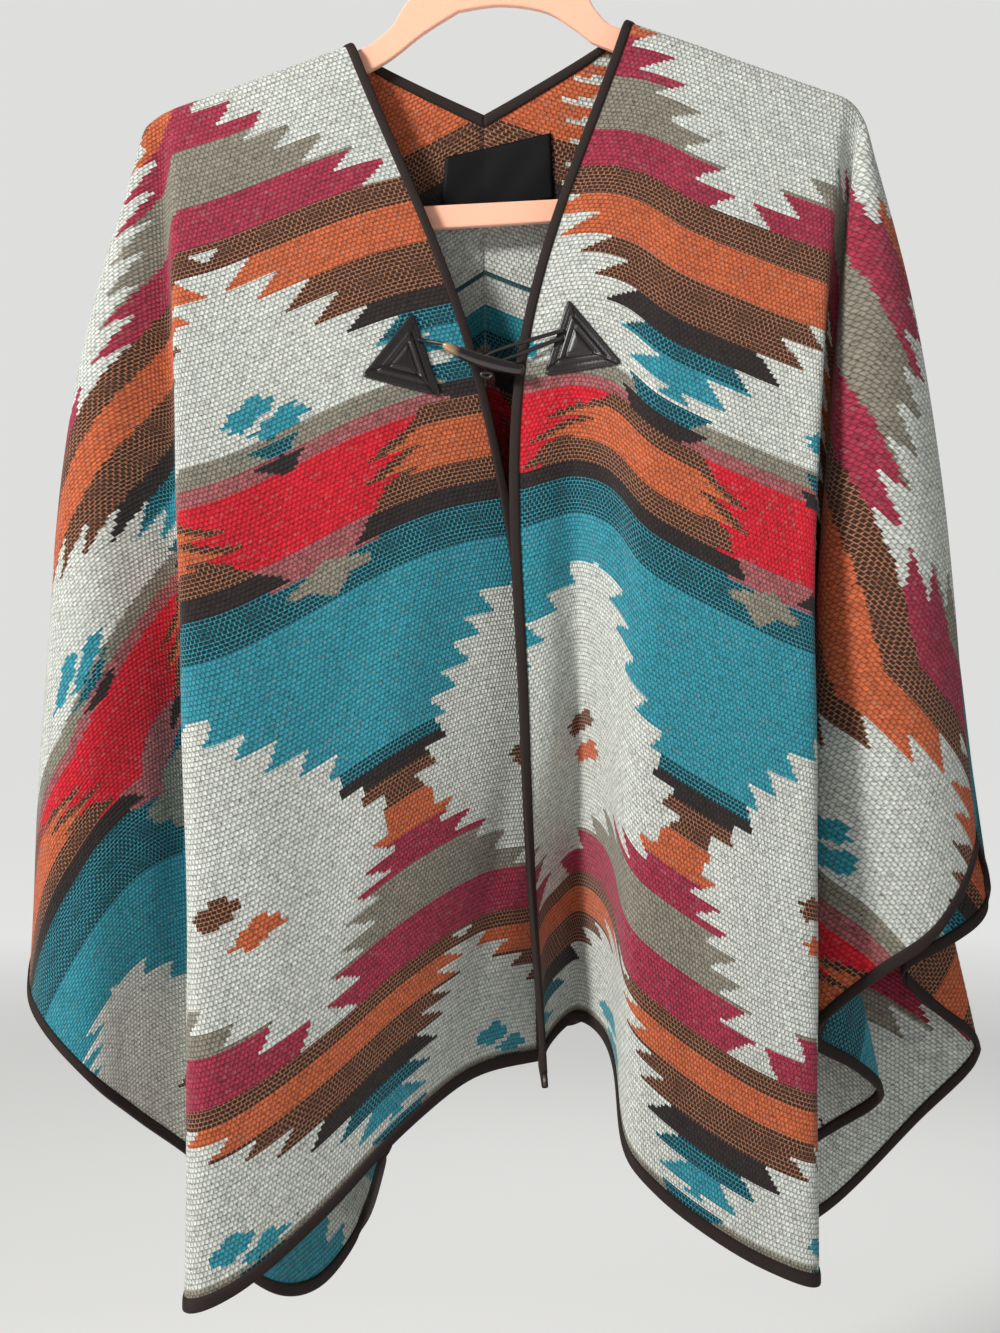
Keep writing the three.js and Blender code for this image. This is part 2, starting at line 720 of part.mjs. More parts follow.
// Label: a small rectangle on the back under the neck, stitched across the middle seam
const labelCorners = {
  topLeft: { x: -37.5, z: -196 },
  topRight: { x: 35, z: -179.5 },
  bottomLeft: { x: -41, z: -240 },
  bottomRight: { x: 37, z: -224 },
};
const labelThickness = 0.8;
const labelRoom = 0.8;
const labelAcross = 8;
const labelDown = 4;

function labelCells() {
  const { topLeft, topRight, bottomLeft, bottomRight } = labelCorners;
  const cells = [];
  for (let i = 0; i <= labelAcross; i += 1) {
    const column = [];
    for (let j = 0; j <= labelDown; j += 1) {
      const f = i / labelAcross;
      const g = j / labelDown;
      const x = mix(mix(topLeft.x, topRight.x, f), mix(bottomLeft.x, bottomRight.x, f), g);
      const z = mix(mix(topLeft.z, topRight.z, f), mix(bottomLeft.z, bottomRight.z, f), g);
      const grid = x < neckBack.x ? grids.back_left : grids.back_right;
      const y = faceY(grid, x, z) - wallThickness / 2 - labelRoom - labelThickness / 2;
      column.push({ point: new THREE.Vector3(x, y, z), normal: new THREE.Vector3(0, -1, 0) });
    }
    cells.push(column);
  }
  return cells;
}

// A closed plate of a grid of middle points
function plate(cells, thickness) {
  const rings = cells.map((column) => [
    ...column.map((cell) => offsetPoint(cell, thickness / 2)),
    ...[...column].reverse().map((cell) => offsetPoint(cell, -thickness / 2)),
  ]);
  return loft(rings);
}

addPiece("label", plate(labelCells(), labelThickness), material(colours.label, 0.8));

// Leather patches: three corners each, with a raised frame between the border and the middle
const patchRoom = 0.45;
const patchBorder = 1.9;
const patchSideSteps = 4;
const patchCorners = {
  left: [
    { x: -58.2, z: -308 },
    { x: -92.4, z: -352.5 },
    { x: -38.9, z: -365 },
  ],
  right: [
    { x: 45.4, z: -299.5 },
    { x: 29.4, z: -351.5 },
    { x: 81.5, z: -344.5 },
  ],
};
// How far out from the middle each ring of the patch lies, and how high it stands
const patchMiddle = 2.4;
const patchRings = [
  { reach: 0.3, height: 2.4 },
  { reach: 0.36, height: 1.7 },
  { reach: 0.42, height: 2.7 },
  { reach: 0.6, height: 2.7 },
  { reach: 0.67, height: 1.7 },
  { reach: 0.92, height: 1.9 },
  { reach: 1, height: 1.4 },
];

function patch(grid, corners) {
  const middle = {
    x: (corners[0].x + corners[1].x + corners[2].x) / 3,
    z: (corners[0].z + corners[1].z + corners[2].z) / 3,
  };
  const outline = [];
  corners.forEach((corner, i) => {
    const next = corners[(i + 1) % 3];
    for (let step = 0; step < patchSideSteps; step += 1) {
      const f = step / patchSideSteps;
      outline.push({ x: mix(corner.x, next.x, f), z: mix(corner.z, next.z, f) });
    }
  });
  const size = outline.length;
  const points = [];
  const addRing = (reach, height) =>
    outline.forEach((p) => {
      const x = mix(middle.x, p.x, reach);
      const z = mix(middle.z, p.z, reach);
      const y = faceY(grid, x, z) - wallThickness / 2 - patchRoom - height;
      points.push(new THREE.Vector3(x, y, z));
    });
  patchRings.forEach(({ reach, height }) => addRing(reach, height));
  addRing(1, 0);
  addRing(0.5, 0);
  const ringCount = patchRings.length + 2;
  const addMiddle = (height) => {
    const y = faceY(grid, middle.x, middle.z) - wallThickness / 2 - patchRoom - height;
    points.push(new THREE.Vector3(middle.x, y, middle.z));
  };
  addMiddle(patchMiddle);
  addMiddle(0);
  const top = ringCount * size;
  const triangles = [];
  for (let i = 0; i < size; i += 1) {
    const n = (i + 1) % size;
    triangles.push(top, i, n);
    for (let ring = 0; ring + 1 < ringCount; ring += 1) {
      const a = ring * size;
      const b = a + size;
      triangles.push(a + i, b + i, b + n, a + i, b + n, a + n);
    }
    const last = (ringCount - 1) * size;
    triangles.push(top + 1, last + n, last + i);
  }
  return facingOut(geometryOf(points, triangles));
}

addPiece("patch_left", patch(grids.front_left, patchCorners.left), material(colours.leather, 0.45));
addPiece("patch_right", patch(grids.front_right, patchCorners.right), material(colours.leather, 0.45));

// Toggle: a tapered, slightly bent horn
const toggleY = -38;
const toggleWaist = 4.6;
const toggleSides = 10;
const toggleStations = [
  { x: -37.5, z: -331.6, radius: 0.9 },
  { x: -36, z: -332.6, radius: 2.2 },
  { x: -30, z: -335.8, radius: 3.4 },
  { x: -20, z: -340, radius: 4.3 },
  { x: -8, z: -344, radius: 4.7 },
  { x: 4, z: -347, radius: 4.4 },
  { x: 13, z: -348.6, radius: 3.9 },
  { x: 15.5, z: -349, radius: 2.8 },
];

function toggleGeometry() {
  const rings = toggleStations.map((station, i) => {
    const before = toggleStations[Math.max(i - 1, 0)];
    const after = toggleStations[Math.min(i + 1, toggleStations.length - 1)];
    const slope = new THREE.Vector2(after.x - before.x, after.z - before.z).normalize();
    const ring = [];
    for (let k = 0; k < toggleSides; k += 1) {
      const angle = (k / toggleSides) * 2 * Math.PI;
      const rise = station.radius * Math.cos(angle);
      const depth = station.radius * Math.sin(angle);
      ring.push(new THREE.Vector3(station.x - slope.y * rise, toggleY + depth, station.z + slope.x * rise));
    }
    return ring;
  });
  return loft(rings);
}

addPiece("toggle", toggleGeometry(), material(colours.horn, 0.2));

// Cord from the left patch to the toggle, the loop from the right patch behind it, and the cord's knot
const cordRadius = 1.4;
const cordRoom = 0.4;
const cordSides = 8;
const toggleBack = toggleY + toggleWaist + cordRoom + cordRadius;
const routePoint = (x, y, z) => new THREE.Vector3(x, y, z);
const onPatch = (grid, x, z) => {
  const y = faceY(grid, x, z) - wallThickness / 2 - patchRoom - patchBorder - cordRoom - cordRadius;
  return routePoint(x, y, z);
};
const cordRoute = [
  onPatch(grids.front_left, -55, -327),
  onPatch(grids.front_left, -49, -328),
  routePoint(-36, -31, -331),
  routePoint(-24, -31.6, -335),
  routePoint(-17.5, toggleBack, -340),
];
addPiece("cord_left", tube(cordRoute, cordRadius, cordSides, 12), material(colours.leather, 0.5));

const loopRoute = [
  onPatch(grids.front_right, 42, -321.5),
  onPatch(grids.front_right, 37, -323),
  routePoint(22, -32.4, -327.5),
  routePoint(4, -32, -333),
  routePoint(-8, toggleBack, -338),
  routePoint(-10.5, toggleBack, -341.5),
  routePoint(-7, toggleBack, -344),
  routePoint(4, -32, -341),
  routePoint(22, -32.4, -334),
  onPatch(grids.front_right, 36.5, -328.5),
  onPatch(grids.front_right, 41, -327),
];
addPiece("loop_right", tube(loopRoute, cordRadius, cordSides, 30), material(colours.leather, 0.5));

const knotGeometry = new THREE.SphereGeometry(1, 10, 6);
knotGeometry.scale(4.6, 2.6, 3);
knotGeometry.translate(-8.5, -37, -352);
addPiece("knot", knotGeometry, material(colours.leather, 0.5));

export default model;
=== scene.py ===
import math

import bmesh
import bpy
import numpy as np
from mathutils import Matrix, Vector


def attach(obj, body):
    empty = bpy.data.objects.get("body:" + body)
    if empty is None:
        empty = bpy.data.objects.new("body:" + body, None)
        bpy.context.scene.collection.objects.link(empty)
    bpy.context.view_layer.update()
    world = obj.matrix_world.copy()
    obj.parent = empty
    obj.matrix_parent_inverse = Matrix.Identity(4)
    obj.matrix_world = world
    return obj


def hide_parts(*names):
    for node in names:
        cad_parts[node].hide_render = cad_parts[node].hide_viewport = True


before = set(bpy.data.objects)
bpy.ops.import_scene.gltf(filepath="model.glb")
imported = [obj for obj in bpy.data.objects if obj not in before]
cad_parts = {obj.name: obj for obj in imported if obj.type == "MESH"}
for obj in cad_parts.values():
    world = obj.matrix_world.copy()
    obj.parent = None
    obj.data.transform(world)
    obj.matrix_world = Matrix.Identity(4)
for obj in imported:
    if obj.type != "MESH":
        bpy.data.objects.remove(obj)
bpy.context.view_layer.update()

MM = 0.001
rng = np.random.default_rng(7)


def new_object(name, data):
    made = bpy.data.objects.new(name, data)
    bpy.context.collection.objects.link(made)
    return made


# Camera: level, in front of the middle of the photograph's frame. The photograph's top row lies 135
# of its rows below the frame's origin.
PHOTO_SCALE = 0.68 * MM
PHOTO_ROWS = 1333
MIDDLE_ROW = 667
TOP_ROW = 135
SENSOR = 24
CAMERA_DISTANCE = 1.5
camera_data = bpy.data.cameras.new("camera")
camera_data.sensor_fit = "VERTICAL"
camera_data.sensor_height = SENSOR
camera_data.lens = SENSOR * CAMERA_DISTANCE / (PHOTO_ROWS * PHOTO_SCALE)
camera = new_object("camera", camera_data)
camera.location = (0, -CAMERA_DISTANCE, -(MIDDLE_ROW + TOP_ROW) * PHOTO_SCALE)
camera.rotation_euler = (math.pi / 2, 0, 0)
bpy.context.scene.camera = camera

# The cloth's cut
WALL = 2
SEAM = 0.04
PANEL_LENGTH = 735
PANEL_WIDTH = 590
CORNER = 160
NECK_HALF = 64
NECK_DEPTH = 90
HEM_STRAIGHT = PANEL_WIDTH - CORNER
SIDE_STRAIGHT = PANEL_LENGTH - CORNER
SIDE_END = HEM_STRAIGHT + math.pi / 2 * CORNER + SIDE_STRAIGHT
ROLL = 9
ROLL_LENGTH = math.pi / 2 * ROLL
TIP_ROLL = 30
TIP_TAPER = 3
NECK_LEFT = (-102, -124.4)
NECK_RIGHT = (87, -108.8)
TIP_LEFT = (-224.4, -170)
TIP_RIGHT = (231.2, -159.8)
NECK_BACK = (-11, 15, -168)
NECK_SAG = 0.9

# Folds: start on the shoulder line, end on the cut edge, place at one third (x, y), at two thirds
# (x, y) and at the cut edge (x, y, z)
LEFT_FRONT = [
    (0, 0, -15, -16, 24, -4, 28, 34, -818),
    (8, 8, -22, -18, 17, -7, 23, 29, -818),
    (22, 90, -58, -26, -18, -22, -20, -4, -824),
    (45, 180, -101, -34, -64, -44, -64, -46, -852),
    (75, 270, -148, -42, -116, -66, -112, -82, -898),
    (100, 335, -184, -56, -164, -92, -162, -116, -936),
    (125, 385, -211, -64, -198, -96, -197, -122, -948),
    (131, 450, -213, -42, -198, -50, -188, -56, -928),
    (136, 530, -217, -22, -205, -8, -198, 0, -892),
    (141, 610, -238, -28, -238, -26, -242, -32, -846),
    (145, 680, -262, -38, -268, -44, -269, -52, -818),
    (148, 770, -281, -34, -297, -40, -302, -46, -782),
    (150, 850, -285, -20, -303, -22, -314, -24, -754),
    (152, 950, -275, -12, -290, -13, -300, -14, -700),
    (153.5, 1080, -257, -10, -262, -11, -268, -12, -655),
    (155, SIDE_END, -247, 0, -251, 0, -253, 0, -622),
]
LEFT_BACK = [
    (153.5, 1080, -257, 10, -262, 11, -268, 12, -655),
    (152, 950, -268, 14, -282, 19, -292, 24, -700),
    (150, 850, -272, 24, -288, 34, -300, 44, -760),
    (148, 770, -262, 37, -270, 55, -276, 72, -812),
    (145, 680, -244, 43, -237, 72, -232, 98, -872),
    (141, 600, -229, 29, -213, 22, -202, 14, -930),
    (136, 520, -215, 27, -186, 24, -160, 12, -972),
    (131, 440, -199, 36, -162, 52, -128, 56, -982),
    (120, 370, -178, 44, -138, 76, -99, 98, -950),
    (100, 300, -160, 29, -112, 22, -78, 8, -880),
    (75, 225, -132, 40, -86, 70, -66, 96, -838),
    (50, 155, -102, 24, -66, 20, -52, 8, -812),
    (25, 85, -76, 31, -46, 62, -40, 90, -800),
    (0, 20, -46, 19, -28, 19, -26, 14, -794),
    (-1, -NECK_HALF, -10, 28, -9, 50, -8, 74, -792),
]
RIGHT_FRONT = [
    (0, 0, 13, -24, 14, -34, 30, -26, -826),
    (8, 8, 21, -25, 21, -33, 30, -18, -823),
    (12, 40, 32, -27, 34, -27, 29, 2, -808),
    (20, 85, 52, -28, 52, -10, 50, 22, -789),
    (34, 130, 72, -32, 66, -28, 68, -2, -793),
    (46, 165, 86, -36, 76, -48, 77, -34, -812),
    (60, 215, 104, -46, 88, -74, 80, -82, -856),
    (82, 265, 130, -48, 114, -80, 100, -92, -882),
    (108, 325, 160, -52, 146, -84, 132, -94, -907),
    (134, 385, 189, -56, 176, -86, 168, -96, -928),
    (153, 440, 208, -57, 204, -84, 203, -94, -940),
    (158, 490, 204, -38, 196, -48, 190, -50, -922),
    (162, 545, 206, -20, 190, -12, 176, -6, -895),
    (165, 610, 214, -12, 204, -2, 222, 8, -866),
    (168, 680, 222, -12, 216, -6, 258, -8, -838),
    (169.5, 745, 222, -18, 212, -14, 238, -22, -815),
    (172, 810, 224, -32, 210, -34, 206, -38, -792),
    (174.5, 860, 246, -42, 240, -48, 244, -50, -753),
    (177, 915, 268, -38, 276, -48, 288, -48, -722),
    (179, 985, 284, -20, 303, -24, 318, -26, -668),
    (180.2, 1070, 274, -12, 290, -14, 302, -14, -640),
    (181, SIDE_END, 257, 0, 264, 0, 270, 0, -604),
]
RIGHT_BACK = [
    (180.2, 1150, 270, 10, 284, 11, 296, 12, -630),
    (179.3, 1020, 282, 16, 308, 18, 328, 20, -668),
    (178.2, 930, 280, 26, 311, 26, 337, 26, -714),
    (176.5, 885, 268, 22, 290, 19, 308, 17, -737),
    (174.2, 842, 258, 26, 272, 22, 276, 18, -757),
    (171.5, 800, 258, 32, 280, 32, 304, 28, -786),
    (169, 748, 260, 38, 288, 42, 334, 36, -815),
    (165, 670, 248, 42, 266, 50, 292, 46, -864),
    (161, 580, 234, 38, 232, 48, 228, 48, -928),
    (157, 500, 218, 38, 200, 52, 183, 54, -944),
    (148, 425, 202, 42, 168, 71, 150, 92, -925),
    (130, 355, 180, 29, 142, 22, 130, 8, -885),
    (108, 285, 156, 40, 118, 67, 108, 90, -845),
    (82, 215, 128, 24, 94, 19, 88, 6, -815),
    (54, 145, 98, 34, 70, 60, 66, 86, -800),
    (26, 75, 66, 22, 44, 23, 44, 32, -794),
    (0, 15, 34, 27, 20, 48, 20, 78, -792),
    (-1, -NECK_HALF, -10, 28, -9, 50, -8, 74, -792),
]

CURVE_STEPS = 144
BUNCHING = 1.5
SHARES = (np.arange(CURVE_STEPS + 1) / CURVE_STEPS) ** BUNCHING
RAY_STEP = 4
HALVINGS = 34
BLUR_ROUNDS = 9
# How many rays a row of flat places is looked up on, with more of them near the shoulder tip
ROW_RAYS = 2600
FAN_RAYS = 300
FAN_REACH = 220


def catmull(p0, p1, p2, p3, f):
    slope_a = (p2 - p0) / 2
    slope_b = (p3 - p1) / 2
    cubic = 2 * (p1 - p2) + slope_a + slope_b
    square = 3 * (p2 - p1) - 2 * slope_a - slope_b
    return ((cubic * f + square) * f + slope_a) * f + p1


def smooth_at(values, place):
    """A smooth curve through evenly numbered values. The last axis of values is the numbered one."""
    last = values.shape[-1] - 1
    i = np.clip(np.floor(place).astype(int), 0, last - 1)
    f = place - i
    take = lambda k: values[..., np.clip(k, 0, last)]
    p1, p2 = take(i), take(i + 1)
    p0 = np.where(i > 0, take(i - 1), 2 * p1 - p2)
    p3 = np.where(i + 2 <= last, take(i + 2), 2 * p2 - p1)
    return catmull(p0, p1, p2, p3, f)


def cut_point(distance):
    """Flat place (s, v) of a point of the cut edge, by its distance from the front corner."""
    turn = (distance - HEM_STRAIGHT) / CORNER
    s = np.where(distance <= HEM_STRAIGHT, distance, HEM_STRAIGHT + CORNER * np.sin(turn))
    v = np.where(distance <= HEM_STRAIGHT, PANEL_LENGTH, SIDE_STRAIGHT + CORNER * np.cos(turn))
    on_side = distance > SIDE_END - SIDE_STRAIGHT
    s = np.where(on_side, PANEL_WIDTH, s)
    v = np.where(on_side, SIDE_END - distance, v)
    return s, v


class Half:
    """One half of the cloth, front and back, as rays from the shoulder line to the cut edge."""

    def __init__(self, side, neck, tip, front, back):
        self.side = side
        rows = np.array(front + back, dtype=float)
        self.front_count = len(front)
        is_back = np.arange(len(rows)) >= len(front)
        self.reach = np.where(is_back, 2 * SIDE_END - rows[:, 1], rows[:, 1])
        self.top = rows[:, 0]
        self.rows = rows
        self.neck = np.array(neck, dtype=float)
        self.tip = np.array(tip, dtype=float)
        run = self.tip - self.neck
        self.shoulder = float(np.hypot(*run))
        self.direction = run / self.shoulder
        self.tip_turn = math.pi / 2 - math.atan2(-self.direction[1], abs(self.direction[0]))
        self.tip_radius = TIP_ROLL / self.tip_turn

    def shoulder_point(self, top):
        inside = np.clip(-top, 0, 1)
        fallen = np.minimum(NECK_DEPTH * inside, ROLL_LENGTH)
        neck_x = self.neck[0] + (NECK_BACK[0] - self.neck[0]) * inside
        neck_y = ROLL * np.sin(fallen / ROLL) + (NECK_BACK[1] - ROLL) * inside
        neck_z = self.neck[1] + (NECK_BACK[2] - self.neck[1]) * inside**NECK_SAG
        x = self.neck[0] + self.direction[0] * top
        z = self.neck[1] + self.direction[1] * top
        start = math.pi / 2 - self.tip_turn
        angle = start + np.maximum(top - self.shoulder, 0) / self.tip_radius
        tip_x = self.tip[0] + self.side * self.tip_radius * (np.sin(angle) - math.sin(start))
        tip_z = self.tip[1] - self.tip_radius * (math.cos(start) - np.cos(angle))
        past = top > self.shoulder
        x = np.where(past, tip_x, x)
        z = np.where(past, tip_z, z)
        in_neck = top < 0
        return np.where(in_neck, neck_x, x), np.where(in_neck, neck_y, 0.0), np.where(in_neck, neck_z, z)

    def ray_ends(self, reach):
        u = np.interp(reach, self.reach, np.arange(len(self.reach)))
        top = np.interp(u, np.arange(len(self.top)), self.top)
        end_s, end_v = cut_point(np.where(reach > SIDE_END, 2 * SIDE_END - reach, reach))
        inside = np.clip(-top, 0, 1)
        top_s = np.where(top < 0, -NECK_HALF * inside, top)
        return u, top, top_s, NECK_DEPTH * inside, end_s, end_v

    def rays(self, reach, is_back):
        u, top, top_s, top_v, end_s, end_v = self.ray_ends(reach)
        column = lambda i: smooth_at(self.rows[:, i], u)
        length = np.hypot(end_s - top_s, end_v - top_v)
        start = self.shoulder_point(top)
        taper = np.clip((self.shoulder + TIP_ROLL - top) / TIP_ROLL, 0, 1)
        full = np.minimum(1, taper * TIP_TAPER)
        roll = ROLL * np.sin(math.pi / 2 * full) * (1 if is_back else -1)
        roll = np.where(np.abs(reach - SIDE_END) < 1e-6, 0, roll)
        start_y = np.where(top < 0, np.maximum(start[1], ROLL), roll)
        xs = np.stack([start[0], column(2), column(4), column(6)], axis=-1)
        ys = np.stack([start_y, column(3), column(5), column(7)], axis=-1)
        z_end = column(8)
        gone = length[:, None] * SHARES[None, :]
        rolled = np.where(gone < ROLL_LENGTH, np.sin(np.minimum(gone / ROLL, math.pi / 2)), 1)
        place = SHARES * 3
        x = np.stack([smooth_at(row, place) for row in xs])
        y = np.stack([smooth_at(row, place) for row in ys])
        y = start[1][:, None] * (1 - rolled) + y * rolled
        dx2 = np.diff(x, axis=1) ** 2
        dy2 = np.diff(y, axis=1) ** 2
        step = np.diff(gone, axis=1)
        low = np.full(len(reach), 0.5)
        high = np.full(len(reach), 1.5)
        fall = lambda take: np.sqrt(np.maximum((step * take[:, None]) ** 2 - dx2 - dy2, 0))
        for _ in range(HALVINGS):
            take = (low + high) / 2
            too_high = start[2] - fall(take).sum(axis=1) > z_end
            low = np.where(too_high, take, low)
            high = np.where(too_high, high, take)
        z = start[2][:, None] - np.concatenate(
            [np.zeros((len(reach), 1)), np.cumsum(fall(low), axis=1)], axis=1
        )
        flat_s = top_s[:, None] + (end_s - top_s)[:, None] * SHARES[None, :]
        flat_v = top_v[:, None] + (end_v - top_v)[:, None] * SHARES[None, :]
        return np.stack([x, y, z], axis=-1), flat_s, flat_v, length


def blur_across(table, rounds):
    """Softens the folds across the rays and keeps both end rays."""
    for _ in range(rounds):
        before = np.concatenate([2 * table[:1] - table[1:2], table[:-1]])
        after = np.concatenate([table[1:], 2 * table[-1:] - table[-2:-1]])
        table = (before + 2 * table + after) / 4
    return table


# Soft creases: flat place of both ends (s, v), half width and depth. Depth below 0 is a trough.
CREASES = {
    "front_left": [
        (30, 250, 210, 470, 16, -1.6),
        (60, 330, 260, 640, 22, 2.0),
        (150, 120, 330, 420, 24, -2.2),
        (20, 470, 120, 735, 18, -2.4),
        (260, 420, 330, 735, 20, -2.0),
        (90, 60, 170, 300, 18, 1.6),
        (420, 380, 560, 470, 20, -2.2),
        (360, 300, 520, 560, 18, 1.8),
        (40, 600, 200, 690, 14, 1.4),
    ],
    "front_right": [
        (30, 250, 170, 430, 14, -1.6),
        (60, 320, 200, 640, 20, 1.8),
        (170, 130, 330, 430, 24, -2.2),
        (230, 420, 300, 735, 20, -2.2),
        (120, 60, 200, 330, 18, 1.6),
        (30, 420, 70, 720, 14, 1.4),
        (400, 300, 560, 420, 22, -2.0),
        (360, 420, 540, 600, 18, 1.6),
    ],
    "back_left": [
        (-50, 130, 60, 420, 22, -2.2),
        (20, 60, 180, 400, 24, 2.0),
        (110, 120, 300, 560, 24, -2.4),
        (-40, 420, 20, 735, 18, 1.8),
        (190, 400, 260, 735, 20, -2.0),
        (330, 300, 520, 520, 22, 2.2),
    ],
    "back_right": [
        (-50, 140, 70, 440, 22, -2.0),
        (30, 70, 170, 380, 24, 2.0),
        (120, 120, 310, 540, 24, -2.4),
        (-30, 450, 30, 735, 18, 1.6),
        (200, 420, 250, 735, 20, -2.2),
        (340, 320, 530, 500, 22, 2.0),
    ],
}


# How far a crease bows out at its middle, and the share of it that fades at each end
BOW = 10
FADING_SHARE = 0.3


def crease_height(name, s, v):
    height = 0.7 * np.sin(s / 41 + v / 67 + len(name)) * np.sin(v / 53 - s / 90)
    for s0, v0, s1, v1, width, depth in CREASES[name]:
        run = np.array([s1 - s0, v1 - v0], dtype=float)
        length = np.hypot(*run)
        run /= length
        along = (s - s0) * run[0] + (v - v0) * run[1]
        off = (s - s0) * -run[1] + (v - v0) * run[0]
        bow = BOW * np.sin(math.pi * np.clip(along / length, 0, 1))
        fading = FADING_SHARE * length
        fade = np.clip(along / fading, 0, 1) * np.clip((length - along) / fading, 0, 1)
        height = height + depth * np.exp(-(((off - bow) / width) ** 2)) * fade
    calm = np.clip(v / 60, 0, 1) * np.clip((PANEL_WIDTH - s) / 60, 0, 1) * np.clip((s + NECK_HALF) / 30, 0, 1)
    return height * calm


class Sheet:
    """One cloth panel as a table of points over its rays, which everything on it is placed by."""

    def __init__(self, name, half, is_back):
        self.name, self.half, self.is_back = name, half, is_back
        first, last = (SIDE_END, half.reach[-1]) if is_back else (0, SIDE_END)
        count = int(round((last - first) / RAY_STEP))
        self.reach = np.linspace(first, last, count + 1)
        table, flat_s, flat_v, self.length = half.rays(self.reach, is_back)
        table = blur_across(table, BLUR_ROUNDS)
        normal = self.normals(table)
        height = crease_height(name, flat_s, flat_v)
        table = table + normal * height[..., None]
        self.table, self.normal = table, self.normals(table)

    def normals(self, table):
        across = np.gradient(table, axis=0)
        down = np.gradient(table, axis=1)
        normal = np.cross(across, down) * -self.half.side
        on_top = self.half.ray_ends(self.reach)[1] >= 0
        normal[on_top, 0, 1] = 0
        side_ray = 0 if self.is_back else -1
        normal[side_ray, :, 1] = 0
        return normal / np.maximum(np.linalg.norm(normal, axis=-1, keepdims=True), 1e-9)

    def at(self, reach, share):
        """Middle points and outward directions at a ray and a share of its length."""
        place = np.clip(share, 0, 1) ** (1 / BUNCHING) * CURVE_STEPS
        ray = (reach - self.reach[0]) / (self.reach[1] - self.reach[0])
        i = np.clip(np.floor(ray).astype(int), 0, len(self.reach) - 2)
        j = np.clip(np.floor(place).astype(int), 0, CURVE_STEPS - 1)
        f, g = (ray - i)[..., None], (place - j)[..., None]

        def look(t):
            near = t[i, j] * (1 - g) + t[i, j + 1] * g
            far = t[i + 1, j] * (1 - g) + t[i + 1, j + 1] * g
            return near * (1 - f) + far * f

        normal = look(self.normal)
        return look(self.table), normal / np.maximum(np.linalg.norm(normal, axis=-1, keepdims=True), 1e-9)

    def row_limits(self, v):
        low = -NECK_HALF * min(v / NECK_DEPTH, 1) if self.is_back else 0
        if v <= SIDE_STRAIGHT:
            return low, PANEL_WIDTH
        return low, HEM_STRAIGHT + math.sqrt(max(CORNER**2 - (v - SIDE_STRAIGHT) ** 2, 0))

    def row(self, v, s):
        """Rays and shares of a row of flat places."""
        half = self.half
        last_top = half.top[half.front_count - 1]
        if v <= SIDE_STRAIGHT:
            limit = SIDE_END - v
        else:
            limit = HEM_STRAIGHT + CORNER * math.acos(min((v - SIDE_STRAIGHT) / CORNER, 1))
        fan = SIDE_END - np.geomspace(max(v, 0.01), FAN_REACH, FAN_RAYS) if v < FAN_REACH else np.zeros(0)
        lowest = 0.0
        if self.is_back:
            neck_row = half.reach[-2]
            lowest = 2 * SIDE_END - (neck_row + min(v / NECK_DEPTH, 1) * (half.reach[-1] - neck_row))
        fan = fan[(fan > lowest) & (fan < limit)]
        reach = np.unique(np.concatenate([np.linspace(lowest, limit, ROW_RAYS), fan]))
        actual = 2 * SIDE_END - reach if self.is_back else reach
        _, _, top_s, top_v, end_s, end_v = half.ray_ends(actual)
        gap = np.maximum(end_v - top_v, 1e-6)
        place = top_s + (end_s - top_s) * np.clip((v - top_v) / gap, 0, 1)
        place = np.maximum.accumulate(place)
        ray = np.interp(s, place, actual)
        _, _, top_s, top_v, end_s, end_v = half.ray_ends(ray)
        by_v = np.abs(end_v - top_v) > np.abs(end_s - top_s)
        share_v = (v - top_v) / np.where(by_v, end_v - top_v, 1)
        share_s = (s - top_s) / np.where(by_v, 1, end_s - top_s)
        share = np.where(by_v, share_v, share_s)
        if v == 0:
            on_line = s > last_top
            ray = np.where(on_line, SIDE_END, ray)
            share = np.where(on_line, (s - last_top) / (PANEL_WIDTH - last_top), 0)
        return ray, np.clip(share, 0, 1)


# Yarn colours, as seen, and how much a stitch of each differs from the next
YARNS = {
    "white": ((192, 195, 188), 0.10),
    "grey": ((128, 123, 110), 0.10),
    "maroon": ((150, 44, 66), 0.12),
    "rose": ((150, 84, 86), 0.14),
    "red": ((196, 24, 42), 0.10),
    "orange": ((184, 92, 56), 0.10),
    "tan": ((150, 100, 74), 0.08),
    "brown": ((58, 32, 27), 0.10),
    "black": ((40, 33, 32), 0.12),
    "teal": ((46, 134, 150), 0.09),
    "dark_teal": ((40, 76, 84), 0.10),
}


def linear(rgb):
    c = np.array(rgb, dtype=float) / 255
    return np.where(c <= 0.04045, c / 12.92, ((c + 0.055) / 1.055) ** 2.4)


# The woven pattern: a serrated band group, then a field, repeated down the cloth. Lengths in mm.
REPEAT_ACROSS = 270
REPEAT_START = -55
REPEAT_DOWN = 527
UPPER_CENTRE = 187
LOWER_CENTRE = 52
TOOTH_PITCH = 15
PANEL_OFFSET = 12
BACK_OFFSET = 77
BANDS = [
    (-55, "teal_dots"),
    (-47, "black"),
    (-35, "brown_dots"),
    (-12, "orange"),
    (8, "maroon"),
    (38, "grey"),
    (78, "maroon"),
    (105, "brown_dots"),
    (125, "orange"),
    (154, "brown_dots"),
    (185, "black"),
    (200, "teal_dots"),
    (213, "teal"),
    (238, "white"),
    (244, "grey"),
    (257, "rose"),
    (268, "red"),
    (325, "black"),
    (338, "teal_dots"),
    (362, "teal"),
]
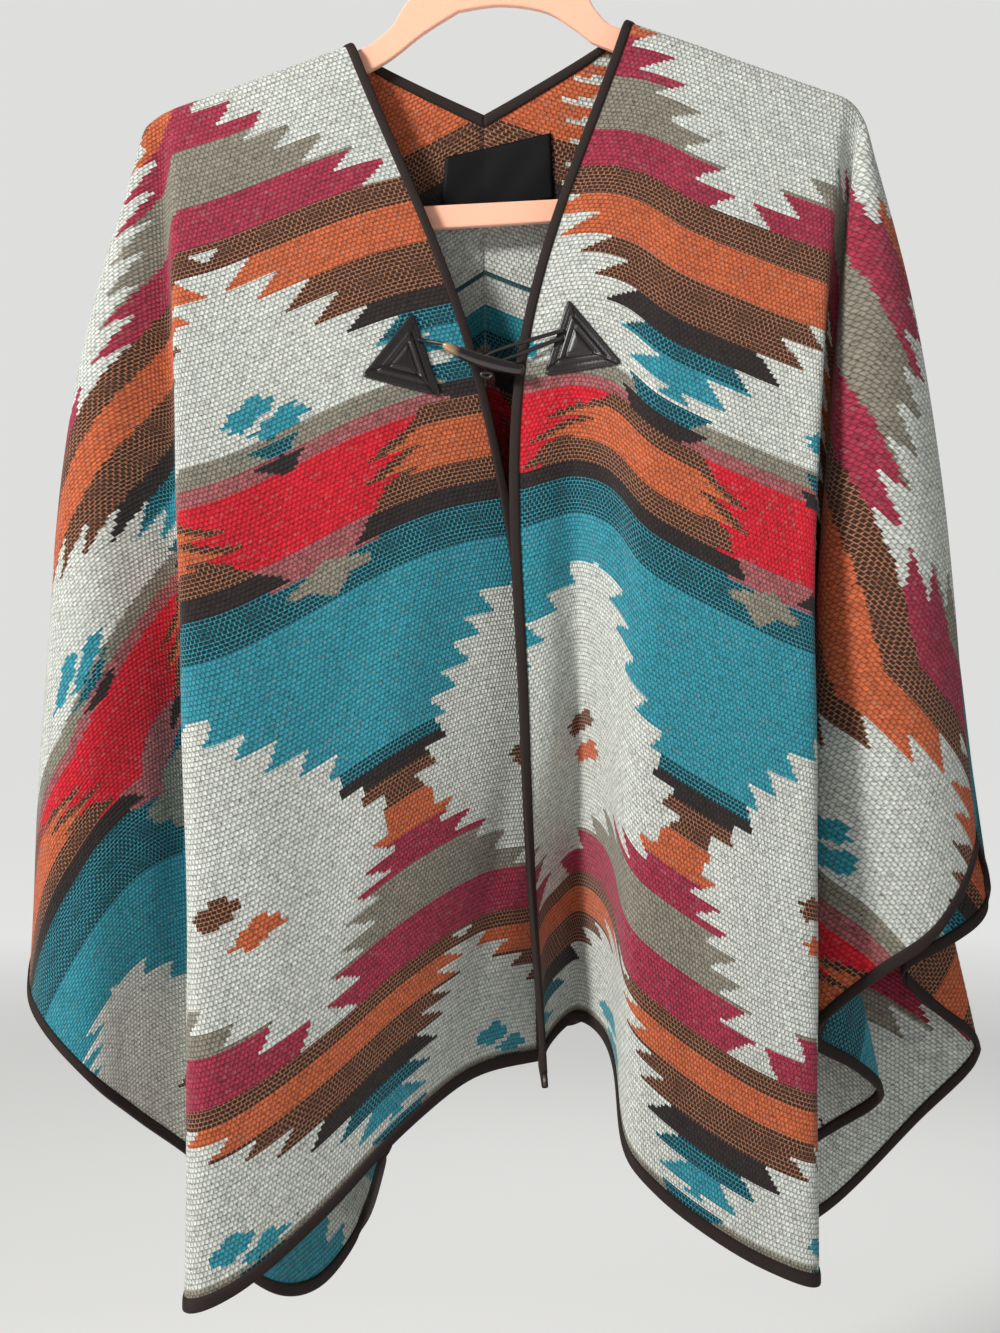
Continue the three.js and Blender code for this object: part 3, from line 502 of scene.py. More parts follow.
# The second repeat is woven a little closer: place down the cloth, place in the first repeat
SECOND_REPEAT = (472, 480, 492, 513, 536, 558, 593, 622, 634, 653, 675, 690, 700, 718, 723, 732, 740)
FIRST_REPEAT = (-55, -47, -35, -12, 8, 38, 78, 105, 125, 154, 185, 200, 213, 235, 244, 257, 268)
LEFT_DRIFT = ((0, 500, 550, 620, 695, 735), (0, 0, 10, 42, 80, 100))
RIGHT_DRIFT = ((0, 250, 300, 430, 490, 560, 610, 700, 735), (0, 0, 12, 50, 34, 60, 82, 110, 118))
# The most that the side part of a front lies lower on the cloth than its middle
LEFT_RISE = ((0, 450, 530, 600, 735), (105, 105, 150, 130, 120))
RIGHT_RISE = ((0, 450, 530, 600, 735), (118, 118, 160, 130, 110))
LEFT_SLOPE = ((0, 400, 500, 735), (0.48, 0.48, 0.95, 0.85))
RIGHT_SLOPE = ((0, 200, 380, 500, 600, 735), (0.5, 0.5, 0.8, 1.0, 0.72, 0.7))
BACK_START = 600


def band_of(v, bands):
    found = np.full(v.shape, "white", dtype=object)
    for start, yarn in bands:
        found[v >= start] = yarn
    return found


def away_from(x, centre):
    """Signed distance from the nearest repeat of a motif's middle."""
    return (x - centre + REPEAT_ACROSS / 2) % REPEAT_ACROSS - REPEAT_ACROSS / 2


def chart_place(sheet, s, v):
    """Chart place of flat places of a panel: how the pattern lies on each piece of cloth."""
    is_left = sheet.half.side < 0
    across = NECK_HALF + s
    if sheet.is_back:
        return sheet.half.side * across + BACK_OFFSET, BACK_START - v
    if is_left:
        drift = np.interp(v, *LEFT_DRIFT)
        ridge, slope, step, most = 125 + 260 * v / PANEL_LENGTH, np.interp(v, *LEFT_SLOPE), 10, LEFT_RISE
    else:
        drift = np.interp(v, *RIGHT_DRIFT) * (1 - 0.25 * np.clip(s / 350, 0, 1))
        ridge, slope, step, most = 153 + 280 * v / PANEL_LENGTH, np.interp(v, *RIGHT_SLOPE), 0, RIGHT_RISE
    past = s - ridge
    rise = np.where(past > 0, slope * past + step * np.clip(past / 20, 0, 1), 0)
    rise = np.minimum(rise, np.interp(v, *most))
    x = -across - PANEL_OFFSET - drift if is_left else across + drift
    if not is_left:
        rise = rise + np.interp(v, (0, 260, 330), (8, 8, 0))
    return x, v - rise


# Bands at the neck of the back: start and end down the cloth, yarn and half width
NECK_BANDS = (
    (0, 88, "orange", 92),
    (88, 118, "brown_dots", 96),
    (118, 142, "black", 104),
    (142, 222, "white", 150),
    (196, 200, "dark_teal", 150),
)
NECK_CENTRE = -20


def neck_field(sheet, s, v, yarn):
    across = np.abs(sheet.half.side * (NECK_HALF + s) - NECK_CENTRE)
    for start, end, name, half_width in NECK_BANDS:
        inside = across < half_width - 34 * ((v / TOOTH_PITCH) % 1)
        yarn[inside & (v >= start) & (v < end)] = name


def lozenge_pair(x, v, centre, levels, colours, half_width, yarn, where):
    off = away_from(x, centre)
    for shift, level, colour in zip((-9, 9), levels, colours):
        size = half_width * (1 - np.abs(v - level) / 11) - 7 * (((v - level) / 5) % 1 - 0.5)
        slant = off - shift + 0.8 * (v - level)
        inside = (np.abs(slant) < size) & (np.abs(v - level) < 10)
        yarn[where & inside & (yarn == "white")] = colour


def chart(x, raw_v):
    """Yarn of each stitch, by its place in the chart."""
    v = np.where(raw_v > SECOND_REPEAT[0], np.interp(raw_v, SECOND_REPEAT, FIRST_REPEAT), raw_v)
    v = (v - REPEAT_START) % REPEAT_DOWN + REPEAT_START
    yarn = band_of(v, BANDS)
    upper = np.abs(away_from(x, UPPER_CENTRE))
    lower = np.abs(away_from(x, LOWER_CENTRE))
    tooth = lambda start: ((v - start) / TOOTH_PITCH) % 1

    def paint(start, end, where, name):
        yarn[(v >= start) & (v < end) & where] = name

    # Serrated white fields between the coloured triangles
    paint(REPEAT_START, -12, lower > 60 - 0.88 * (v + 55) - 20 * (1 - tooth(-55)), "white")
    paint(-12, 105, (upper < (95 - v) * 1.02 + 36 * tooth(30.5)) & (upper < 113), "white")
    paint(110, 244, lower < (v - 135) + 38 * (1 - tooth(140)), "white")

    # Small motifs at the two centres, above and in the red band
    paint(244, 257, lower < 20 - 20 * tooth(247), "teal_dots")
    paint(257, 270, lower < 17 - 18 * tooth(260), "black")
    paint(240, 252, upper < 36 - 20 * tooth(240), "teal_dots")
    paint(252, 267, upper < 38 - 22 * tooth(252), "black")
    paint(265, 280, upper < 55 - 20 * (1 - tooth(262)), "brown_dots")
    wedge = np.interp(v, (278, 308), (66, 86)) - 30 * (1 - tooth(274))
    paint(278, 308, upper < wedge + 14, "brown_dots")
    paint(278, 308, upper < wedge, "orange")
    paint(308, 325, upper < 95 - 16 * (1 - tooth(308)), "brown_dots")
    paint(322, 340, upper >= 112 - 18 * (1 - tooth(322)), "rose")
    paint(336, 360, lower < 30 - 2.2 * np.abs(v - 347) + 12 * (tooth(336) - 0.5), "grey")

    # White tree in the teal
    tree = upper < np.interp(v, (388, 400, 472), (4, 38, 110)) - 28 * tooth(398)
    paint(388, math.inf, tree, "white")

    everywhere = np.ones(v.shape, dtype=bool)
    lozenge_pair(x, v, LOWER_CENTRE, (224, 237), ("teal", "teal"), 20, yarn, everywhere)
    repeated = (raw_v > SECOND_REPEAT[0]) | (raw_v < -60)
    lozenge_pair(x, v, UPPER_CENTRE, (-13, 7), ("brown_dots", "orange"), 20, yarn, repeated)
    return yarn


DOTTED = {"brown_dots": "tan", "teal_dots": "teal"}
FLECKED = ("maroon", "rose", "teal", "red", "orange")
FLECK_SHARE = 0.07


def yarn_colours(yarn):
    """Colour of each stitch. Alpha is 0 where the cloth is dotted with dark dashes, else 1."""
    colours = np.ones((len(yarn), 4))
    for name, (rgb, spread) in YARNS.items():
        here = yarn == name
        count = int(here.sum())
        shade = 1 + spread * rng.standard_normal(count).clip(-2, 2)
        colours[here, :3] = linear(rgb)[None, :] * shade[:, None]
        if name in FLECKED:
            fleck = rng.random(count) < FLECK_SHARE
            part = colours[here]
            part[fleck, :3] = part[fleck, :3] * 0.82 + linear((190, 185, 175))[None, :] * 0.08
            colours[here] = part
    for name, ground in DOTTED.items():
        here = yarn == name
        colours[here, :3] = linear(YARNS[ground][0])
        colours[here, 3] = 0
    return colours


# Fine grid along the weave, and a coarser one on the inside
OUTER_STEPS = (3.4, 2.3)
INNER_STEPS = (4.6, 3.4)
# A row may end this far short of the edge, so that its last cell is never a sliver
EDGE_ROOM = 0.4


def make_mesh(name, points, faces, is_solid=True):
    """A smooth piece from points in millimetres. A solid's faces are turned outward."""
    mesh = bpy.data.meshes.new(name)
    mesh.from_pydata((np.array(points) * MM).tolist(), [], faces)
    mesh.polygons.foreach_set("use_smooth", np.ones(len(mesh.polygons), dtype=bool))
    mesh.update()
    if is_solid:
        work = bmesh.new()
        work.from_mesh(mesh)
        bmesh.ops.recalc_face_normals(work, faces=work.faces)
        work.to_mesh(mesh)
        work.free()
    return new_object(name, mesh)


def ring_faces(rings, size, start=0):
    """Faces between rings of points, which are numbered one ring after another."""
    faces = []
    for first in range(start, start + (rings - 1) * size, size):
        for i in range(size):
            n = (i + 1) % size
            faces.append([first + i, first + n, first + size + n, first + size + i])
    return faces


def closed_faces(rings, size, start=0):
    """The same with a face over each end ring."""
    last = start + (rings - 1) * size
    ends = [list(range(start, start + size))[::-1], list(range(last, last + size))]
    return ring_faces(rings, size, start) + ends


def cloth_grid(sheet, across_step, down_step):
    """Points, outward directions, flat places and faces of one layer of a panel."""
    rows = int(round(PANEL_LENGTH / down_step))
    down_step = PANEL_LENGTH / rows
    low_edge = -NECK_HALF if sheet.is_back else 0
    columns = int(math.ceil((PANEL_WIDTH - low_edge) / across_step))
    grid_s = low_edge + np.arange(columns + 1) * across_step
    index = np.zeros((rows + 1, columns + 1), dtype=int)
    points, normals, flats = [], [], []
    count = 0
    for j in range(rows + 1):
        v = j * down_step
        low, high = sheet.row_limits(v)
        first = max(int(np.searchsorted(grid_s, low + EDGE_ROOM, side="right")) - 1, 0)
        last = min(int(np.searchsorted(grid_s, high - EDGE_ROOM, side="left")), columns)
        s = np.clip(grid_s[first : last + 1], low, high)
        ray, share = sheet.row(v, s)
        middle, normal = sheet.at(ray, share)
        if j == 0:
            middle[:, 1] = (1 if sheet.is_back else -1) * SEAM / 2
            normal[:, 1] = 0
        if sheet.is_back and v >= NECK_DEPTH:
            middle[0, 0] += sheet.half.side * SEAM / 2
            normal[0, 0] = 0
        points.append(middle)
        normals.append(normal / np.maximum(np.linalg.norm(normal, axis=1, keepdims=True), 1e-9))
        flats.append(np.stack([s, np.full(len(s), float(v))], axis=1))
        index[j] = count + np.clip(np.arange(columns + 1), first, last) - first
        count += len(s)
    points, normals, flats = (np.concatenate(part) for part in (points, normals, flats))
    corners = [index[:-1, :-1], index[:-1, 1:], index[1:, 1:], index[1:, :-1]]
    quads = np.stack(corners, axis=-1).reshape(-1, 4)
    faces = [list(dict.fromkeys(q)) for q in quads.tolist()]
    faces = [q for q in faces if len(q) >= 3]
    # The first side's winding faces out when seen from outside, so one of the halves is turned
    if (sheet.half.side > 0) == sheet.is_back:
        faces = [q[::-1] for q in faces]
    return points, normals, flats, faces


def border_loop(faces):
    """The border's points in order, from the edges that only one face has."""
    edges = {}
    for q in faces:
        for a, b in zip(q, q[1:] + q[:1]):
            key = (min(a, b), max(a, b))
            edges[key] = None if key in edges else (a, b)
    follow = {edge[0]: edge[1] for edge in edges.values() if edge}
    loop = [min(follow)]
    while follow[loop[-1]] != loop[0]:
        loop.append(follow[loop[-1]])
    return loop


def stitched_rim(outer_loop, outer_at, inner_loop, inner_at):
    """Triangles between two borders that run the same way, by the share of their length gone."""
    start = int(np.argmin(np.linalg.norm(inner_at[inner_loop] - outer_at[outer_loop[0]], axis=1)))
    inner_loop = inner_loop[start:] + inner_loop[:start]

    def shares(loop, at):
        step = np.linalg.norm(np.roll(at[loop], -1, axis=0) - at[loop], axis=1)
        return np.concatenate([[0], np.cumsum(step) / step.sum()])

    outer_share, inner_share = shares(outer_loop, outer_at), shares(inner_loop, inner_at)
    faces = []
    i = k = 0
    while i < len(outer_loop) or k < len(inner_loop):
        a, b = outer_loop[i % len(outer_loop)], inner_loop[k % len(inner_loop)]
        inner_is_done = k >= len(inner_loop)
        if inner_is_done or (i < len(outer_loop) and outer_share[i + 1] <= inner_share[k + 1]):
            faces.append([outer_loop[(i + 1) % len(outer_loop)], a, b])
            i += 1
        else:
            faces.append([a, b, inner_loop[(k + 1) % len(inner_loop)]])
            k += 1
    return faces


def panel_piece(sheet):
    """A closed shell of woven cloth: a fine outer layer, a coarser inner one and a rim."""
    points, normals, flats, outer = cloth_grid(sheet, *OUTER_STEPS)
    inner_points, inner_normals, inner_flats, inner = cloth_grid(sheet, *INNER_STEPS)
    count = len(points)
    half_wall = WALL / 2
    both = np.concatenate([points + normals * half_wall, inner_points - inner_normals * half_wall])
    both_flats = np.concatenate([flats, inner_flats])
    every_flat = np.concatenate([both_flats, np.zeros((len(both), 1))], axis=1)
    inner_faces = [[k + count for k in q] for q in inner]
    rim = stitched_rim(border_loop(outer), every_flat, border_loop(inner_faces), every_flat)
    turned_inner = [q[::-1] for q in inner_faces]
    faces = outer + turned_inner + rim
    piece = make_mesh(sheet.name + "_cloth", both, faces, is_solid=False)
    mesh = piece.data
    centre = np.array([both_flats[q].mean(axis=0) for q in outer + turned_inner])
    yarn = chart(*chart_place(sheet, centre[:, 0], centre[:, 1]))
    if sheet.is_back:
        neck_field(sheet, centre[:, 0], centre[:, 1], yarn)
    loops = np.array([len(q) for q in outer + turned_inner])
    face_colours = np.repeat(yarn_colours(yarn), loops, axis=0)
    rim_colour = np.tile(np.append(linear((120, 110, 100)), 1), (3 * len(rim), 1))
    layer = mesh.color_attributes.new("yarn", "FLOAT_COLOR", "CORNER")
    layer.data.foreach_set("color", np.concatenate([face_colours, rim_colour]).ravel())
    uv = mesh.uv_layers.new(name="cloth")
    corner = np.zeros(len(mesh.loops), dtype=int)
    mesh.loops.foreach_get("vertex_index", corner)
    uv.data.foreach_set("uv", (both_flats[corner] * MM).ravel())
    return piece


# Folded tape: places of its points inward from the edge, how thick it is there, its room to the cloth,
# the step between its stations, and the length of front edge that is left to the hem's tape
TAPE_CELLS = np.array([0, 2.7, 5.3, 8.0])
TAPE_THICK = np.array([0.95, 0.95, 0.9, 0.35])
TAPE_ROOM = 0.3
TAPE_STEP = 4
TAPE_END = 8.8
NECK_STEPS = 34


def tape_piece(name, stations):
    """Tape folded over an edge. Each station has points and directions from the edge inward."""
    near = WALL / 2 + TAPE_ROOM
    bulge = TAPE_THICK[0]
    points = []
    for middle, normal in stations:
        out = middle[0] - middle[1]
        out /= np.linalg.norm(out)
        cells = list(zip(middle, normal, TAPE_THICK))
        points += [p + n * (near + thick) for p, n, thick in cells[::-1]]
        for degrees in (60, 30, 0, -30, -60):
            angle = math.radians(degrees)
            ahead = TAPE_ROOM + bulge * math.cos(angle)
            points.append(middle[0] + normal[0] * (near + bulge) * math.sin(angle) + out * ahead)
        points += [p - n * (near + thick) for p, n, thick in cells]
        points += [p - n * near for p, n, _ in cells[::-1]]
        points += [middle[0] + normal[0] * lift + out * TAPE_ROOM for lift in (-near, near)]
        points += [p + n * near for p, n, _ in cells]
    return make_mesh(name, points, closed_faces(len(stations), len(points) // len(stations)))


def hem_tape(sheet):
    stations = []
    last = len(sheet.reach) - 1
    side_ray = 0 if sheet.is_back else last
    for k, (reach, length) in enumerate(zip(sheet.reach, sheet.length)):
        middle, normal = sheet.at(np.full(4, reach), (length - TAPE_CELLS) / length)
        if k == side_ray:
            middle[:, 1] = (1 if sheet.is_back else -1) * SEAM / 2
        if sheet.is_back and k == last:
            middle[:, 0] += sheet.half.side * SEAM / 2
            normal[:, 0] = 0
        stations.append((middle, normal))
    return tape_piece("tape_hem_" + sheet.name, stations)


def front_tape(sheet):
    length = sheet.length[0]
    stations = []
    steps = int(length // TAPE_STEP)
    for k in range(steps + 1):
        gone = (length - TAPE_END) * k / steps
        middle, normal = sheet.at(TAPE_CELLS.copy(), np.full(4, gone / length))
        if k == 0:
            middle[:, 1] = -SEAM / 2
            normal[:, 1] = 0
        stations.append((middle, normal))
    return tape_piece("tape_" + sheet.name, stations)


def neck_tape(sheet):
    first, last = sheet.half.reach[-2], sheet.half.reach[-1]
    stations = []
    for k in range(NECK_STEPS + 1):
        reach = first + (last - first) * k / NECK_STEPS
        length = float(np.interp(reach, sheet.reach, sheet.length))
        middle, normal = sheet.at(np.full(4, reach), TAPE_CELLS / length)
        if k == 0:
            middle[0, 1] = SEAM / 2
            normal[0, 1] = 0
        if k == NECK_STEPS:
            middle[:, 0] += sheet.half.side * SEAM / 2
        stations.append((middle, normal))
    return tape_piece("tape_neck_" + sheet.name.replace("back_", ""), stations)


left = Half(-1, NECK_LEFT, TIP_LEFT, LEFT_FRONT, LEFT_BACK)
right = Half(1, NECK_RIGHT, TIP_RIGHT, RIGHT_FRONT, RIGHT_BACK)
sheets = {
    "front_left": Sheet("front_left", left, False),
    "front_right": Sheet("front_right", right, False),
    "back_left": Sheet("back_left", left, True),
    "back_right": Sheet("back_right", right, True),
}


# Points of a wall that faces nearly sideways count as far off
LEAST_FACING = 0.25
FAR_OFF = 1000
NEAREST = 10


def face_y(sheet, x, z):
    """Y of a panel's middle at a place seen from the front, in millimetres."""
    points = sheet.table.reshape(-1, 3)
    normals = sheet.normal.reshape(-1, 3)
    turned = np.abs(normals[:, 1]) < LEAST_FACING
    off = np.hypot(points[:, 0] - x, points[:, 2] - z) + FAR_OFF * turned
    near = np.argpartition(off, NEAREST)[:NEAREST]
    p, n, weight = points[near], normals[near], 1 / (off[near] + 0.5) ** 2
    y = p[:, 1] - n[:, 0] / n[:, 1] * (x - p[:, 0]) - n[:, 2] / n[:, 1] * (z - p[:, 2])
    return float((weight * y).sum() / weight.sum())


def rgba(rgb):
    return (*linear(rgb), 1)


class Look:
    """Nodes of a material or a world. Each input is set to a value, or joined to another node's output."""

    def __init__(self, owner):
        owner.use_nodes = True
        self.owner = owner
        self.tree = owner.node_tree

    def put(self, socket, value):
        if isinstance(value, bpy.types.NodeSocket):
            self.tree.links.new(value, socket)
        else:
            socket.default_value = value

    def add(self, kind, *values, **named):
        """Adds a node and gives its outputs. Values go to its first inputs, names to inputs or settings."""
        made = self.tree.nodes.new("ShaderNode" + kind)
        for key, value in named.items():
            title = key.replace("_", " ")
            if title in made.inputs:
                self.put(made.inputs[title], value)
            else:
                setattr(made, key, value)
        for socket, value in zip(made.inputs, values):
            self.put(socket, value)
        return made.outputs

    def calc(self, operation, *values):
        return self.add("Math", *values, operation=operation)[0]

    def ranged(self, value, *limits):
        """Maps a value from one range to another: from least, from most, to least, to most."""
        return self.add("MapRange", value, *limits)[0]

    def bump(self, height, strength, distance):
        return self.add("Bump", Strength=strength, Distance=distance, Height=height)[0]

    def bricks(self, place, width, depth):
        """Column and row numbers of bricks. Every second row is moved by half a brick."""
        split = self.add("SeparateXYZ", place)
        row = self.calc("MULTIPLY", split[1], 1 / (depth * MM))
        moved = self.calc("MULTIPLY", self.calc("FLOOR", row), 0.5)
        return self.calc("ADD", self.calc("MULTIPLY", split[0], 1 / (width * MM)), moved), row

    def shade(self, **named):
        """Sets the shader's inputs by name and gives the material."""
        shader = self.tree.nodes["Principled BSDF"]
        for key, value in named.items():
            self.put(shader.inputs[key.replace("_", " ")], value)
        return self.owner


def new_look(name):
    return Look(bpy.data.materials.new(name))


# Nubs of the weave, and dashes of the dotted bands: width, depth, share of a brick that is dark, and
# how much of the colour stays there
NUB_ACROSS = 3.4
NUB_DOWN = 3.0
DASH_ACROSS = 3.8
DASH_DOWN = 2.6
DASH_SHARE = 0.78
DASH_DARK = 0.13


def cloth_material():
    look = new_look("poncho_cloth")
    place = look.add("UVMap", uv_map="cloth")[0]
    colour = look.add("VertexColor", layer_name="yarn")
    waves = []
    for number in look.bricks(place, NUB_ACROSS, NUB_DOWN):
        wave = look.calc("SINE", look.calc("MULTIPLY", number, math.pi))
        waves.append(look.calc("ABSOLUTE", wave))
    nub = look.calc("POWER", look.calc("MULTIPLY", *waves), 0.5)
    fuzz = look.add("TexNoise", place, Scale=1100.0, Detail=3.0, Roughness=0.7)[0]
    fleck = look.add("TexNoise", place, Scale=420.0, Detail=2.0, Roughness=0.6)[0]
    # Painted shade: the colour is darkened in the hollows between the nubs of the weave and made a little
    # lighter on their tops
    shade = look.ranged(nub, 0.0, 0.75, 0.34, 1.06)
    shade = look.calc("MULTIPLY", shade, look.ranged(fuzz, 0.3, 0.7, 0.8, 1.2))
    shade = look.calc("MULTIPLY", shade, look.ranged(fleck, 0.34, 0.42, 0.5, 1.0))
    # Dotted bands: dark dashes in brick order on the lighter yarn
    dash = look.calc("LESS_THAN", colour["Alpha"], 0.5)
    for number in look.bricks(place, DASH_ACROSS, DASH_DOWN):
        inside = look.calc("LESS_THAN", look.calc("FRACT", number), DASH_SHARE)
        dash = look.calc("MULTIPLY", dash, inside)
    darken = look.calc("SUBTRACT", 1.0, look.calc("MULTIPLY", dash, 1 - DASH_DARK))
    shade = look.calc("MULTIPLY", shade, darken)
    height = look.calc("ADD", nub, look.calc("MULTIPLY", fuzz, 0.5))
    return look.shade(
        Base_Color=look.add("VectorMath", colour[0], operation="SCALE", Scale=shade)[0],
        Normal=look.bump(height, 0.75, 0.0009),
        Roughness=0.94,
        Specular_IOR_Level=0.15,
        Sheen_Weight=0.12,
        Sheen_Roughness=0.6,
    )


def noisy_material(name, rgb, roughness, scale, depth, spread, **shine):
    look = new_look(name)
    noise = look.add("TexNoise", look.add("TexCoord")["Object"], Scale=scale, Detail=5.0, Roughness=0.6)[0]
    tones = [(*np.minimum(linear(rgb) * part, 1), 1) for part in (1 - spread, 1 + spread)]
    return look.shade(
        Base_Color=look.add("MixRGB", noise, *tones)[0],
        Normal=look.bump(noise, 0.6, depth),
        Roughness=roughness,
        Coat_Roughness=0.25,
        **shine,
    )


def horn_material():
    look = new_look("horn")
    place = look.add("TexCoord")["Object"]
    stretched = look.add("Mapping", place, Scale=(60, 260, 260), Rotation=(0, 0.3, 0))[0]
    grain = look.add("TexNoise", stretched, Scale=1.0, Detail=4.0)[0]
    tip = look.ranged(look.add("SeparateXYZ", place)[0], -0.037, -0.02)
    ramp = look.tree.nodes.new("ShaderNodeValToRGB")
    look.put(ramp.inputs[0], look.calc("ADD", tip, look.calc("MULTIPLY", grain, 0.3)))
    stops = ((0.15, (176, 140, 100)), (0.75, (26, 20, 19)))
    for stop, (position, rgb) in zip(ramp.color_ramp.elements, stops):
        stop.position = position
        stop.color = rgba(rgb)
    return look.shade(Base_Color=ramp.outputs[0], Roughness=0.18, Coat_Weight=0.5, Coat_Roughness=0.08)


def tape_material():
    look = new_look("binding_tape")
    place = look.add("TexCoord")["Object"]
    noise = look.add("TexNoise", place, Scale=900.0, Detail=3.0)[0]
    bands = {"wave_type": "BANDS", "bands_direction": "DIAGONAL"}
    rib = look.add("TexWave", place, Scale=420.0, Distortion=1.5, Detail=1.0, **bands)["Fac"]
    return look.shade(
        Base_Color=look.add("MixRGB", noise, rgba((22, 15, 13)), rgba((42, 29, 25)))[0],
        Normal=look.bump(rib, 0.4, 0.0004),
        Roughness=0.75,
        Specular_IOR_Level=0.3,
    )


cloth = cloth_material()
tape = tape_material()
leather = noisy_material("leather", (24, 18, 18), 0.36, 900.0, 0.0003, 0.35, Coat_Weight=0.15)
thread = noisy_material("thread", (20, 17, 18), 0.7, 1500.0, 0.0002, 0.3)
satin = noisy_material("label_satin", (11, 11, 13), 0.6, 1400.0, 0.0002, 0.3, Specular_IOR_Level=0.15)
flock = noisy_material("hanger_flock", (244, 178, 150), 0.95, 1600.0, 0.0003, 0.10, Sheen_Weight=0.25)
steel = noisy_material("hook_steel", (200, 200, 202), 0.22, 300.0, 0.00002, 0.04, Metallic=1.0)
horn = horn_material()


def finish_piece(piece, material, slot_name, *nodes_replaced):
    piece.data.materials.clear()
    piece.data.materials.append(material)
    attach(piece, "root")
    if nodes_replaced:
        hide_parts(*nodes_replaced)
    return piece


# Cloth panels and their tape
for name, sheet in sheets.items():
    panel = finish_piece(panel_piece(sheet), cloth, "cloth", name)
    trims = [finish_piece(hem_tape(sheet), tape, "tape", "binding_hem_" + name)]
    side_name = name.split("_")[1]
    if sheet.is_back:
        trims.append(finish_piece(neck_tape(sheet), tape, "tape", "binding_neck_" + side_name))
    else:
        trims.append(finish_piece(front_tape(sheet), tape, "tape", "binding_front_" + side_name))


# Label, bare, across the middle seam of the back: its top and bottom corners
LABEL_TOP = np.array([(-37.5, -196), (35, -179.5)])
LABEL_BOTTOM = np.array([(-41, -240), (37, -224)])
LABEL_THICK = 0.8
LABEL_ROOM = 0.4
LABEL_STEPS = (30, 18)


def grid_plate(name, cells, thickness):
    """A closed plate with soft edges from a grid of middle points, facing the front."""
    across, down = len(cells), len(cells[0])
    middle = np.array(cells)
    border = np.ones((across, down))
    border[0, :] = border[-1, :] = border[:, 0] = border[:, -1] = 0.45
    lift = np.zeros_like(middle)
    lift[..., 1] = thickness / 2 * border
    points = np.concatenate([(middle - lift).reshape(-1, 3), (middle + lift).reshape(-1, 3)])
    faces = []
    at = lambda layer, i, j: (layer * across + i) * down + j
    for i in range(across - 1):
        for j in range(down - 1):
            faces.append([at(0, i, j), at(0, i, j + 1), at(0, i + 1, j + 1), at(0, i + 1, j)])
            faces.append([at(1, i, j), at(1, i + 1, j), at(1, i + 1, j + 1), at(1, i, j + 1)])
    for i in range(across - 1):
        for j in (0, down - 1):
            faces.append([at(0, i, j), at(0, i + 1, j), at(1, i + 1, j), at(1, i, j)])
    for j in range(down - 1):
        for i in (0, across - 1):
            faces.append([at(0, i, j), at(0, i, j + 1), at(1, i, j + 1), at(1, i, j)])
    return make_mesh(name, points, faces)


def label_cells():
    cells = []
    steps_across, steps_down = LABEL_STEPS
    for i in range(steps_across + 1):
        f = i / steps_across
        top = LABEL_TOP[0] * (1 - f) + LABEL_TOP[1] * f
        bottom = LABEL_BOTTOM[0] * (1 - f) + LABEL_BOTTOM[1] * f
        column = []
        for j in range(steps_down + 1):
            g = j / steps_down
            x, z = top * (1 - g) + bottom * g
            sheet = sheets["back_left"] if x < NECK_BACK[0] else sheets["back_right"]
            y = face_y(sheet, x, z) - WALL / 2 - LABEL_THICK - LABEL_ROOM
            y -= 0.5 * math.sin(f * 7 + g * 3) ** 2 * math.sin(math.pi * g)
            column.append((x, y, z))
        cells.append(column)
    return cells


finish_piece(grid_plate("neck_label", label_cells(), LABEL_THICK), satin, "label", "label")

# Leather patches: a stitched border, a raised frame and a raised middle
PATCHES = {
    "left": ((-58.2, -308), (-92.4, -352.5), (-38.9, -365)),
    "right": ((45.4, -299.5), (29.4, -351.5), (81.5, -344.5)),
}
PATCH_RINGS = (
    (1.0, 0.0),
    (1.0, 0.9),
    (0.985, 1.4),
    (0.95, 1.7),
    (0.88, 1.45),
    (0.82, 1.7),
    (0.76, 1.75),
    (0.69, 1.35),
    (0.66, 1.5),
    (0.63, 2.3),
    (0.6, 2.7),
    (0.54, 2.85),
    (0.47, 2.7),
    (0.43, 2.2),
    (0.4, 1.5),
    (0.37, 1.45),
    (0.34, 2.0),
    (0.29, 2.5),
    (0.18, 2.75),
)
PATCH_TOP = 2.8
PATCH_ROOM = 0.45


def triangle_outline(corners, steps=14, rounding=0.07):
    outline = []
    for i in range(3):
        a, b = np.array(corners[i]), np.array(corners[(i + 1) % 3])
        c = np.array(corners[i - 1])
        start = a + (b - a) * rounding
        before = a + (c - a) * rounding
        for t in (0.0, 0.33, 0.67):
            outline.append((1 - t) ** 2 * before + 2 * t * (1 - t) * a + t**2 * start)
        for k in range(steps):
            outline.append(start + (a + (b - a) * (1 - rounding) - start) * k / (steps - 1))
    return np.array(outline)


# Rows of stitches: share of the outline, height, and number on each side. Then the rings of one
# stitch: place along it, and share of its radius
STITCH_ROWS = ((0.885, 1.45, 20), (0.7, 1.35, 14))
STITCH_SIZES = ((-1, 0.25), (-0.6, 0.9), (0, 1), (0.6, 0.9), (1, 0.25))
STITCH_SIDES = 6
STITCH_LENGTH = 1.7
STITCH_RADIUS = 0.42


